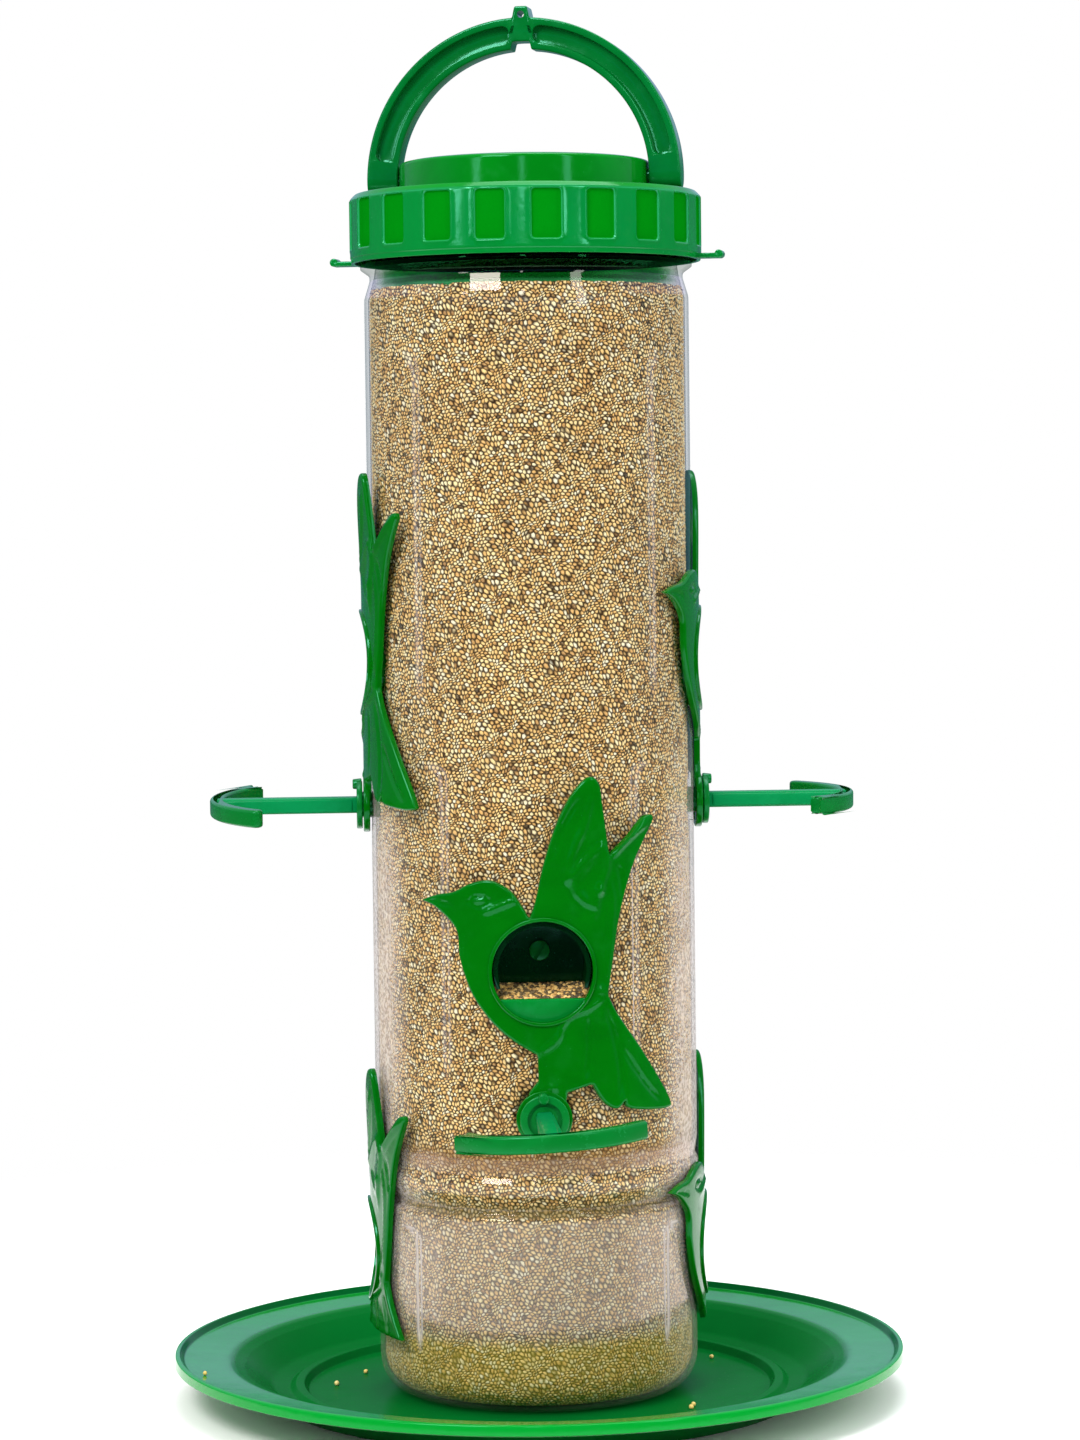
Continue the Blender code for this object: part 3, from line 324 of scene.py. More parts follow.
def rubber(name):
    mat, t = fresh(name)
    co = N(t, 'ShaderNodeTexCoord').outputs['Object']
    grit = N(t, 'ShaderNodeTexNoise', {'Vector': co, 'Scale': 1500.0, 'Detail': 3.0}).outputs['Fac']
    bloom = N(t, 'ShaderNodeTexNoise', {'Vector': co, 'Scale': 90.0, 'Detail': 4.0}).outputs['Fac']
    col = blend_rgb(t, rng(t, bloom, 0.4, 0.7, 0.0, 1.0), (0.012, 0.012, 0.013), (0.045, 0.045, 0.047))
    bump = N(t, 'ShaderNodeBump', {'Height': grit, 'Strength': 0.5, 'Distance': 0.0001})
    bsdf = N(t, 'ShaderNodeBsdfPrincipled', {'Base Color': col, 'Roughness': rng(t, bloom, 0.3, 0.7, 0.55, 0.8),
                                             'Normal': bump.outputs[0]})
    finish_material(t, bsdf.outputs[0])
    return mat


def plated_steel(name):
    mat, t = fresh(name)
    co = N(t, 'ShaderNodeTexCoord').outputs['Object']
    scratch = N(t, 'ShaderNodeTexNoise', {'Vector': N(t, 'ShaderNodeMapping', {
        'Vector': co, 'Scale': (1.0, 1.0, 9.0)}).outputs[0], 'Scale': 700.0, 'Detail': 3.0}).outputs['Fac']
    stain = N(t, 'ShaderNodeTexNoise', {'Vector': co, 'Scale': 220.0, 'Detail': 4.0}).outputs['Fac']
    col = blend_rgb(t, rng(t, stain, 0.45, 0.7, 0.0, 1.0), (0.62, 0.63, 0.66), (0.45, 0.42, 0.36))
    bump = N(t, 'ShaderNodeBump', {'Height': scratch, 'Strength': 0.25, 'Distance': 0.0001})
    bsdf = N(t, 'ShaderNodeBsdfPrincipled', {'Base Color': col, 'Metallic': 1.0,
                                             'Roughness': rng(t, scratch, 0.3, 0.7, 0.22, 0.42),
                                             'Normal': bump.outputs[0]})
    finish_material(t, bsdf.outputs[0])
    return mat


BIRD_GREEN = moulded_plastic("bird_green", (0.0003, 0.118, 0.0010), (0.0002, 0.104, 0.0008),
                             (0.001, 0.134, 0.004), rough=0.13)
# painted light: the seed lip is a lighter green than the bird plate it is moulded with
LIP_GREEN_PAINTED_LIGHT = moulded_plastic("lip_green_painted_light", (0.0006, 0.185, 0.022), (0.0005, 0.160, 0.016),
                            (0.002, 0.21, 0.035), rough=0.16)
# painted light: the rod and gusset are a lighter teal green than the rest of the perch, as if lit from above
ROD_GREEN_PAINTED_LIGHT = moulded_plastic("rod_green_painted_light", (0.0010, 0.215, 0.060), (0.0008, 0.190, 0.048),
                            (0.003, 0.24, 0.075), rough=0.34, spec=0.2)
LID_GREEN = moulded_plastic("lid_green", (0.0004, 0.135, 0.020), (0.0003, 0.112, 0.015),
                            (0.001, 0.155, 0.030), rough=0.12, spec=0.6)
CAP_GREEN = moulded_plastic("cap_green", (0.0004, 0.178, 0.006), (0.0003, 0.156, 0.005),
                            (0.001, 0.20, 0.012), rough=0.12, spec=0.30, panels=0.0539)
TRAY_GREEN = moulded_plastic("tray_green", (0.0006, 0.215, 0.015), (0.0005, 0.190, 0.012),
                             (0.002, 0.235, 0.022), rough=0.11, scuff=0.7, spec=0.44, sheen=(0.27, 0.68, 0.64),
                             matt_and_painted_light_inside=0.0962)
PERCH_GREEN = moulded_plastic("perch_green", (0.0004, 0.146, 0.016), (0.0003, 0.128, 0.012),
                              (0.001, 0.165, 0.022), rough=0.24)
# painted shade: the hood and its boss are far darker greens than the port, standing in for the shade inside the port
HOOD_GREEN = moulded_plastic("hood_green_painted_shade", (0.0003, 0.019, 0.0030), (0.0002, 0.014, 0.0020),
                             (0.001, 0.030, 0.006), rough=0.14, spec=0.5)
BOSS_GREEN = moulded_plastic("hood_boss_green_painted_shade", (0.0008, 0.078, 0.006), (0.0006, 0.062, 0.004),
                             (0.002, 0.098, 0.010), rough=0.16)
PET = clear_pet("clear_pet")
MILLET = millet("millet_grain")
FOAM = foam("seal_foam")
RUBBER = rubber("washer_rubber")
STEEL = plated_steel("plated_steel")


# ================================================================= mesh helpers
def link(obj):
    bpy.context.scene.collection.objects.link(obj)
    return obj


def np_mesh(name, verts, faces, smooth=True):
    """Mesh from arrays: verts (n, 3) in mm, faces (m, 3 or 4)."""
    me = bpy.data.meshes.new(name)
    faces = np.asarray(faces, np.int32)
    k = faces.shape[1]
    me.vertices.add(len(verts))
    me.vertices.foreach_set('co', (np.asarray(verts, float) * MM).astype(np.float32).ravel())
    me.loops.add(faces.size)
    me.loops.foreach_set('vertex_index', faces.ravel())
    me.polygons.add(len(faces))
    me.polygons.foreach_set('loop_start', np.arange(0, faces.size, k, dtype=np.int32))
    me.update(calc_edges=True)
    if smooth:
        me.shade_smooth()
    return me


def piece(name, mesh, mat):
    mesh.name = name
    if len(mesh.materials) < 2:
        mesh.materials.clear()
        mesh.materials.append(mat)
    return link(bpy.data.objects.new(name, mesh))


def bake(obj):
    bpy.context.view_layer.update()
    deps = bpy.context.evaluated_depsgraph_get()
    mesh = bpy.data.meshes.new_from_object(obj.evaluated_get(deps))
    name, mats = obj.name, [m for m in obj.data.materials]
    bpy.data.objects.remove(obj, do_unlink=True)
    mesh.materials.clear()
    for m in mats:
        mesh.materials.append(m)
    mesh.name = name
    return link(bpy.data.objects.new(name, mesh))


def combine(obj, tools):
    for op, tool in tools:
        mod = obj.modifiers.new(op.lower(), 'BOOLEAN')
        mod.operation, mod.solver, mod.object = op, 'EXACT', tool
    obj = bake(obj)
    for _, tool in tools:
        bpy.data.objects.remove(tool, do_unlink=True)
    return obj


def bevelled(obj, width, segments=3, angle=30.0):
    mod = obj.modifiers.new("round", 'BEVEL')
    mod.width = width * MM
    mod.segments = segments
    mod.limit_method = 'ANGLE'
    mod.angle_limit = math.radians(angle)
    mod.harden_normals = False
    return bake(obj)


def smooth_by_angle(obj, angle=32.0):
    obj.data.shade_smooth()
    obj.data.set_sharp_from_angle(angle=math.radians(angle))
    return obj


def join(name, objs):
    """One object from several closed shells."""
    bm = bmesh.new()
    mats = []
    for o in objs:
        me = o.data.copy()
        me.transform(o.matrix_world)
        own = [m for m in o.data.materials if m]
        mats += [m for m in own if m not in mats]
        start = len(bm.faces)
        bm.from_mesh(me)
        bm.faces.ensure_lookup_table()
        for f in bm.faces[start:]:
            f.material_index = mats.index(own[min(f.material_index, len(own) - 1)]) if own else 0
        bpy.data.meshes.remove(me)
        bpy.data.objects.remove(o, do_unlink=True)
    me = bpy.data.meshes.new(name)
    bm.to_mesh(me)
    bm.free()
    for m in mats:
        me.materials.append(m)
    return link(bpy.data.objects.new(name, me))


def recalc(mesh):
    bm = bmesh.new()
    bm.from_mesh(mesh)
    bmesh.ops.recalc_face_normals(bm, faces=bm.faces)
    bm.to_mesh(mesh)
    bm.free()


def fillet(points, default=0.4, n=3, closed=False):
    """Rounds a polyline's corners; a point may carry its own radius as a third number."""
    out = []
    m = len(points)
    for i, p in enumerate(points):
        if not closed and i in (0, m - 1):
            out.append((p[0], p[1]))
            continue
        r = p[2] if len(p) > 2 else default
        a, b = points[i - 1], points[(i + 1) % m]
        la = math.hypot(a[0] - p[0], a[1] - p[1])
        lb = math.hypot(b[0] - p[0], b[1] - p[1])
        if r <= 0 or la < 1e-6 or lb < 1e-6:
            out.append((p[0], p[1]))
            continue
        ua, ub = ((a[0] - p[0]) / la, (a[1] - p[1]) / la), ((b[0] - p[0]) / lb, (b[1] - p[1]) / lb)
        cosang = max(-0.9999, min(0.9999, ua[0] * ub[0] + ua[1] * ub[1]))
        half = math.acos(cosang) / 2
        if half > math.radians(88):
            out.append((p[0], p[1]))
            continue
        d = min(r / math.tan(half), 0.48 * la, 0.48 * lb)
        for k in range(n + 1):
            t = k / n
            w0, w1, w2 = (1 - t) ** 2, 2 * t * (1 - t), t ** 2
            out.append((w0 * (p[0] + ua[0] * d) + w1 * p[0] + w2 * (p[0] + ub[0] * d),
                        w0 * (p[1] + ua[1] * d) + w1 * p[1] + w2 * (p[1] + ub[1] * d)))
    return out


def densify(points, step, z_lo=-1e9, z_hi=1e9):
    """Adds points along the segments of a polyline that lie between two levels."""
    out = [points[0]]
    for a, b in zip(points, points[1:]):
        length = math.hypot(a[0] - b[0], a[1] - b[1])
        if z_lo <= min(a[1], b[1]) and max(a[1], b[1]) <= z_hi and length > step:
            k = int(length / step) + 1
            out += [(a[0] + (b[0] - a[0]) * j / k, a[1] + (b[1] - a[1]) * j / k) for j in range(1, k)]
        out.append(b)
    return out


def revolve(name, profile, thetas, mat, move=None, closed=True):
    """Turned body.  profile: (r, z) in order, closed on itself, or with its ends on the axis.
    thetas: column angles in radians.  move(r, z, theta) gives the radius to use instead."""
    prof = np.array(profile, float)
    th = np.array(sorted(thetas))
    n, m = len(prof), len(th)
    r = np.repeat(prof[:, :1], m, 1)
    z = np.repeat(prof[:, 1:2], m, 1)
    tt = np.repeat(th[None, :], n, 0)
    if move is not None:
        r = move(r, z, tt)
    verts = np.stack([r * np.sin(tt), -r * np.cos(tt), z], -1).reshape(-1, 3)
    idx = np.arange(n * m).reshape(n, m)
    nxt = np.roll(idx, -1, 1)
    rows = [(i, (i + 1) % n) for i in range(n if closed else n - 1)]
    faces = np.concatenate([np.stack([idx[a], idx[b], nxt[b], nxt[a]], -1) for a, b in rows])
    me = np_mesh(name, verts, faces)
    bm = bmesh.new()
    bm.from_mesh(me)
    bmesh.ops.remove_doubles(bm, verts=bm.verts, dist=0.000002)
    bmesh.ops.recalc_face_normals(bm, faces=bm.faces)
    bm.to_mesh(me)
    bm.free()
    return smooth_by_angle(piece(name, me, mat), 40.0)


def ring_angles(count, extra=(), radius=50.0, offsets=()):
    base = [2 * math.pi * i / count for i in range(count)]
    for a in extra:
        for o in offsets:
            base.append((math.radians(a) + o / radius) % (2 * math.pi))
    base = sorted(base)
    out = [base[0]]
    for v in base[1:]:
        if v - out[-1] > 0.0012:
            out.append(v)
    return out


def cyl(name, r, p0, p1, segments=48, mat=None, r2=None):
    a, b = Vector(p0) * MM, Vector(p1) * MM
    axis = b - a
    bm = bmesh.new()
    rot = Vector((0, 0, 1)).rotation_difference(axis.normalized()).to_matrix().to_4x4()
    bmesh.ops.create_cone(bm, cap_ends=True, segments=segments, radius1=r * MM,
                          radius2=(r if r2 is None else r2) * MM, depth=axis.length,
                          matrix=Matrix.Translation((a + b) / 2) @ rot)
    me = bpy.data.meshes.new(name)
    bm.to_mesh(me)
    bm.free()
    if mat:
        me.materials.append(mat)
    return link(bpy.data.objects.new(name, me))


def block(name, lo, hi, mat=None, matrix=None):
    lo, hi = Vector(lo) * MM, Vector(hi) * MM
    bm = bmesh.new()
    m = Matrix.Translation((lo + hi) / 2) @ Matrix.Diagonal((*(hi - lo), 1.0))
    if matrix is not None:
        m = matrix @ m
    bmesh.ops.create_cube(bm, size=1.0, matrix=m)
    me = bpy.data.meshes.new(name)
    bm.to_mesh(me)
    bm.free()
    if mat:
        me.materials.append(mat)
    return link(bpy.data.objects.new(name, me))


def flat_outline(name, loops, thickness, mat=None, edge=0.0, edge_res=2):
    """Flat piece centred on z = 0 from closed outlines in mm, its edges rounded by edge."""
    curve = bpy.data.curves.new(name, 'CURVE')
    curve.dimensions = '2D'
    curve.fill_mode = 'BOTH'
    curve.extrude = (thickness / 2 - edge) * MM
    if edge:
        curve.bevel_depth = edge * MM
        curve.bevel_resolution = edge_res
        curve.offset = -edge * MM
    for loop in loops:
        spline = curve.splines.new('POLY')
        spline.points.add(len(loop) - 1)
        for point, (x, y) in zip(spline.points, loop):
            point.co = (x * MM, y * MM, 0.0, 1.0)
        spline.use_cyclic_u = True
    guide = link(bpy.data.objects.new(name, curve))
    bpy.context.view_layer.update()
    deps = bpy.context.evaluated_depsgraph_get()
    mesh = bpy.data.meshes.new_from_object(guide.evaluated_get(deps))
    bpy.data.objects.remove(guide, do_unlink=True)
    bm = bmesh.new()
    bm.from_mesh(mesh)
    bmesh.ops.remove_doubles(bm, verts=bm.verts, dist=0.000004)
    bmesh.ops.recalc_face_normals(bm, faces=bm.faces)
    bm.to_mesh(mesh)
    bm.free()
    if mat:
        mesh.materials.clear()
        mesh.materials.append(mat)
    return link(bpy.data.objects.new(name, mesh))


def arc(cx, cy, r, a0, a1, n):
    return [(cx + r * math.cos(math.radians(a0 + (a1 - a0) * i / n)),
             cy + r * math.sin(math.radians(a0 + (a1 - a0) * i / n))) for i in range(n + 1)]


def circle(cx, cy, r, n):
    return arc(cx, cy, r, 0.0, 360.0 * (n - 1) / n, n - 1)


def smoothstep(x, lo, hi):
    t = np.clip((x - lo) / (hi - lo), 0.0, 1.0)
    return t * t * (3 - 2 * t)


def smooth_loop(points, step):
    out = []
    n = len(points)
    for i in range(n):
        p0, p1 = points[i - 1], points[i]
        p2, p3 = points[(i + 1) % n], points[(i + 2) % n]
        out.append((p1[0], p1[1]))
        dx, dy = p2[0] - p1[0], p2[1] - p1[1]
        m1 = (dx, dy) if p1[2] else ((p2[0] - p0[0]) / 2, (p2[1] - p0[1]) / 2)
        m2 = (dx, dy) if p2[2] else ((p3[0] - p1[0]) / 2, (p3[1] - p1[1]) / 2)
        count = int(math.hypot(dx, dy) / step)
        for j in range(1, count + 1):
            t = j / (count + 1)
            h1, h2 = 2 * t ** 3 - 3 * t ** 2 + 1, t ** 3 - 2 * t ** 2 + t
            h3, h4 = -2 * t ** 3 + 3 * t ** 2, t ** 3 - t ** 2
            out.append((h1 * p1[0] + h2 * m1[0] + h3 * p2[0] + h4 * m2[0],
                        h1 * p1[1] + h2 * m1[1] + h3 * p2[1] + h4 * m2[1]))
    return out


def resample(points, step, closed=False):
    pts = np.array(list(points) + ([points[0]] if closed else []), float)
    seg = np.hypot(*np.diff(pts, axis=0).T)
    s = np.concatenate([[0], np.cumsum(seg)])
    n = max(2, int(round(s[-1] / step)))
    at = np.linspace(0, s[-1], n + 1)
    out = np.stack([np.interp(at, s, pts[:, 0]), np.interp(at, s, pts[:, 1])], -1)
    return out[:-1] if closed else out


def spline_through(points, step=0.6):
    """Smooth open line through points."""
    pts = [(2 * points[0][0] - points[1][0], 2 * points[0][1] - points[1][1])] + list(points) + \
          [(2 * points[-1][0] - points[-2][0], 2 * points[-1][1] - points[-2][1])]
    out = []
    for i in range(1, len(pts) - 2):
        p0, p1, p2, p3 = (np.array(pts[i + k], float) for k in (-1, 0, 1, 2))
        k = max(2, int(np.hypot(*(p2 - p1)) / step))
        for j in range(k):
            t = j / k
            out.append(0.5 * ((2 * p1) + (-p0 + p2) * t + (2 * p0 - 5 * p1 + 4 * p2 - p3) * t ** 2 +
                              (-p0 + 3 * p1 - 3 * p2 + p3) * t ** 3))
    out.append(np.array(pts[-2], float))
    return np.array(out)


def to_segments(px, py, line, closed=False):
    """Distance from points to a polyline, with the position along it from 0 to 1."""
    a = line if closed else line[:-1]
    b = np.roll(line, -1, 0) if closed else line[1:]
    best = np.full(px.shape, 1e9)
    along = np.zeros(px.shape)
    lens = np.hypot(*(b - a).T)
    cum = np.concatenate([[0], np.cumsum(lens)])
    total = cum[-1]
    for i in range(len(a)):
        dx, dy = b[i] - a[i]
        l2 = dx * dx + dy * dy
        if l2 < 1e-12:
            continue
        t = np.clip(((px - a[i][0]) * dx + (py - a[i][1]) * dy) / l2, 0, 1)
        d = np.hypot(px - a[i][0] - t * dx, py - a[i][1] - t * dy)
        hit = d < best
        best = np.where(hit, d, best)
        along = np.where(hit, (cum[i] + t * lens[i]) / total, along)
    return best, along


def inside_loop(px, py, loop):
    inside = np.zeros(px.shape, bool)
    xj, yj = loop[-1]
    for xi, yi in loop:
        cross = ((yi > py) != (yj > py)) & (px < (xj - xi) * (py - yi) / ((yj - yi) or 1e-12) + xi)
        inside ^= cross
        xj, yj = xi, yi
    return inside


def spin(turn):
    return Matrix.Rotation(math.radians(turn), 4, 'Z')


# ================================================================= jar
def jar_profile():
    t = JAR_WALL
    outer = [(NECK_R - 0.6, JAR_RIM_Z), (NECK_R, JAR_RIM_Z - 0.6), (NECK_R, FLANGE_Z + 1.6, 0.6),
             (FLANGE_R, FLANGE_Z + 0.7, 0.5), (FLANGE_R, FLANGE_Z - 1.0, 0.5),
             (GROOVE_R + 0.1, GROOVE_Z + 0.6, 1.6), (GROOVE_R + 0.1, GROOVE_Z - 1.0, 2.0),
             (JAR_R, SHOULDER_Z - 1.0, 5.0), (JAR_R, WAIST_Z + 16.0, 5.0),
             (JAR_R - 0.75, WAIST_Z + 10.8, 1.3), (JAR_R + 0.2, WAIST_Z + 8.7, 0.9),
             (JAR_R - 0.1, WAIST_Z + 5.0, 1.8), (WAIST_R + 0.2, WAIST_Z + 0.9, 1.0),
             (WAIST_R + 0.2, WAIST_Z - 0.7, 0.5), (LOWER_R, WAIST_Z - 2.0, 0.7),
             (LOWER_R, JAR_BASE_Z + 11.0, 0.0)]
    for i in range(1, 9):
        a = math.radians(90.0 * i / 8)
        outer.append((LOWER_R - 9.0 * (1 - math.cos(a)), JAR_BASE_Z + 11.0 * (1 - math.sin(a)), 0.0))
    outer += [(37.0, JAR_BASE_Z, 1.0), (33.0, JAR_BASE_Z + 1.6, 1.5), (26.0, PUSHUP_Z - 1.0, 2.0),
              (PUSHUP_R, PUSHUP_Z, 2.0), (BOLT_HOLE_R, PUSHUP_Z, 0.1)]
    inner = [(BOLT_HOLE_R, PUSHUP_Z + 1.4, 0.1), (PUSHUP_R, PUSHUP_Z + 1.4, 2.0),
             (26.5, PUSHUP_Z + 0.4, 2.0), (33.5, JAR_BASE_Z + 3.0, 1.5), (37.2, JAR_BASE_Z + 1.5, 1.0)]
    for i in range(8, 0, -1):
        a = math.radians(90.0 * i / 8)
        inner.append((LOWER_R - t - 8.4 * (1 - math.cos(a)), JAR_BASE_Z + 1.5 + 9.5 * (1 - math.sin(a)), 0.0))
    inner += [(LOWER_R - t, JAR_BASE_Z + 11.0, 0.0), (LOWER_R - t, WAIST_Z - 3.2, 0.8),
              (WAIST_R - t, WAIST_Z - 0.6, 0.8), (WAIST_R - t, WAIST_Z + 1.0, 1.0), (JAR_R - t - 0.4, WAIST_Z + 6.0, 3.0), (JAR_R - t - 0.9, WAIST_Z + 10.8, 2.0), (JAR_R - t, WAIST_Z + 17.0, 3.0),
              (JAR_R - t, SHOULDER_Z - 1.2, 4.0), (GROOVE_R - t, GROOVE_Z, 2.0),
              (NECK_R - 1.8, FLANGE_Z + 0.5, 1.5), (NECK_R - 1.8, JAR_RIM_Z, 0.3)]
    return outer, inner


# upright flutes pressed into the wall between the birds: angle, lower end, upper end
FLUTES = [(a, 222.0, 320.0) for a in (-45, 45, -135, 135)] + \
         [(a, 108.0, 198.0) for a in (-35, 35, -145, 145)] + \
         [(a, 24.0, 57.0) for a in (-50, 50, -130, 130)]


def flute_depth(deg, z, a, z0, z1):
    """Depth share of one flute: upright, its upper end curving away towards the nearer bird."""
    away = (1.0 if a > 0 else -1.0) * (1.0 if abs(a) < 90 else -1.0)
    off = (deg - a + 180.0) % 360.0 - 180.0
    s = np.radians(off) * JAR_R
    q = np.clip((z - (z1 - 5.0)) / 5.0, 0.0, 1.0)
    hook = 5.0 * (1.0 - np.sqrt(1.0 - 0.96 * q * q))
    s = s - away * hook
    return np.exp(-(s / (1.0 + 0.6 * q)) ** 2) * smoothstep(z, z0 - 4, z0 + 3) * (1 - smoothstep(z, z1 - 0.5, z1 + 1.0))


def build_jar():
    outer, inner = jar_profile()
    out = fillet(outer, 0.4, 5)
    out = densify(out, 0.45, FLANGE_Z + 1.0, JAR_RIM_Z)
    out = densify(out, 5.0, WAIST_Z + 3.0, SHOULDER_Z)
    out = densify(out, 3.0, 12.0, WAIST_Z - 1.0)
    out = densify(out, 1.0, WAIST_Z - 9.0, WAIST_Z - 2.0)
    for top in (320.0, 198.0):
        out = densify(out, 0.8, top - 8.0, top + 3.0)
    inn = fillet(inner, 0.4, 4)
    inn = densify(inn, 8.0)
    n_out = len(out)
    flags = np.array([1] * n_out + [0] * len(inn))

    def move(r, z, th):
        deg = np.degrees(th)
        add = np.zeros_like(r)
        side = (np.repeat(flags[:, None], r.shape[1], 1) == 1)
        for a, z0, z1 in FLUTES:
            groove = flute_depth(deg, z, a, z0, z1)
            add -= 0.55 * groove
        # screw thread: one and three quarter turns, 6 mm pitch, fading in and out
        turn = ((deg + 60.0) % 360.0) / 360.0
        thread = np.zeros_like(r)
        for k in range(3):
            zc = 352.6 + 6.0 * (turn + k)
            fade = smoothstep(zc, 352.8, 354.6) * (1 - smoothstep(zc, 362.4, 364.2))
            thread = np.maximum(thread, fade * np.clip(1.35 - np.abs(z - zc), 0, 0.95) / 0.95)
        add = add + 2.4 * thread
        return r + np.where(side, add, 0.0)

    angles = ring_angles(128, [f[0] for f in FLUTES], JAR_R, (-2.4, -1.8, -1.2, -0.8, -0.4, 0, 0.4, 0.8, 1.2, 1.8, 2.4))
    jar = revolve("jar_shell", out + inn, angles, PET, move)
    tools = []
    for name, turn, level, perch in PORTS:
        z = LEVEL[level]
        m = spin(turn)
        tools.append(('DIFFERENCE', cyl("h", JAR_HOLE_R, m @ Vector((0, -30, z)), m @ Vector((0, -60, z)), 72)))
        if perch:
            z -= PERCH_DROP
            tools.append(('DIFFERENCE', cyl("k", KEY_R, m @ Vector((0, -42, z)), m @ Vector((0, -58, z)), 32)))
            tools.append(('DIFFERENCE', block("s", (-KEY_W / 2, -58, z - KEY_H / 2),
                                              (KEY_W / 2, -42, z + KEY_H / 2), matrix=m)))
    jar = combine(jar, tools)
    smooth_by_angle(jar, 38.0)
    co = np.empty(len(jar.data.vertices) * 3)
    jar.data.vertices.foreach_get('co', co)
    x, y, z = (co.reshape(-1, 3) / MM).T
    deg = np.degrees(np.arctan2(x, -y))
    crease = np.zeros(len(x))
    for a, z0, z1 in FLUTES:
        g = flute_depth(deg, z, a, z0, z1)
        crease = np.maximum(crease, 4.0 * g * (1.0 - g) * (0.84 if z1 < 70 else 0.36))
    crease *= np.hypot(x, y) > np.where(z < 62.0, LOWER_R - 1.1, JAR_R - 1.1)
    jar.data.attributes.new("crease", 'FLOAT', 'POINT').data.foreach_set('value', crease.astype(np.float32))
    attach(jar, "feeder")
    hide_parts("jar")
    return inner


# ================================================================= millet
def seed_radius_line(inner):
    """(radius, height) of the grains' outer face, from the base outward and up the wall."""
    line = [(r - 0.3 if z > JAR_BASE_Z + 3 else r, z + (0.35 if z < 12 else 0.0))
            for r, z in fillet([p for p in inner if p[0] > 36.5 and p[1] < SHOULDER_Z], 2.0, 4)]
    line.append((JAR_R - JAR_WALL - 0.3, SHOULDER_Z - 1.4))
    line.append((JAR_R - JAR_WALL - 0.75, 342.0))
    return line


def hex_sheet(nu, nv, periodic):
    """Grain centres on a staggered lattice: a (column, row) position for each grain."""
    j, i = np.meshgrid(np.arange(nv), np.arange(nu), indexing='ij')
    centre = np.stack([i + 0.5 * (j % 2), j.astype(float)], -1)
    return centre


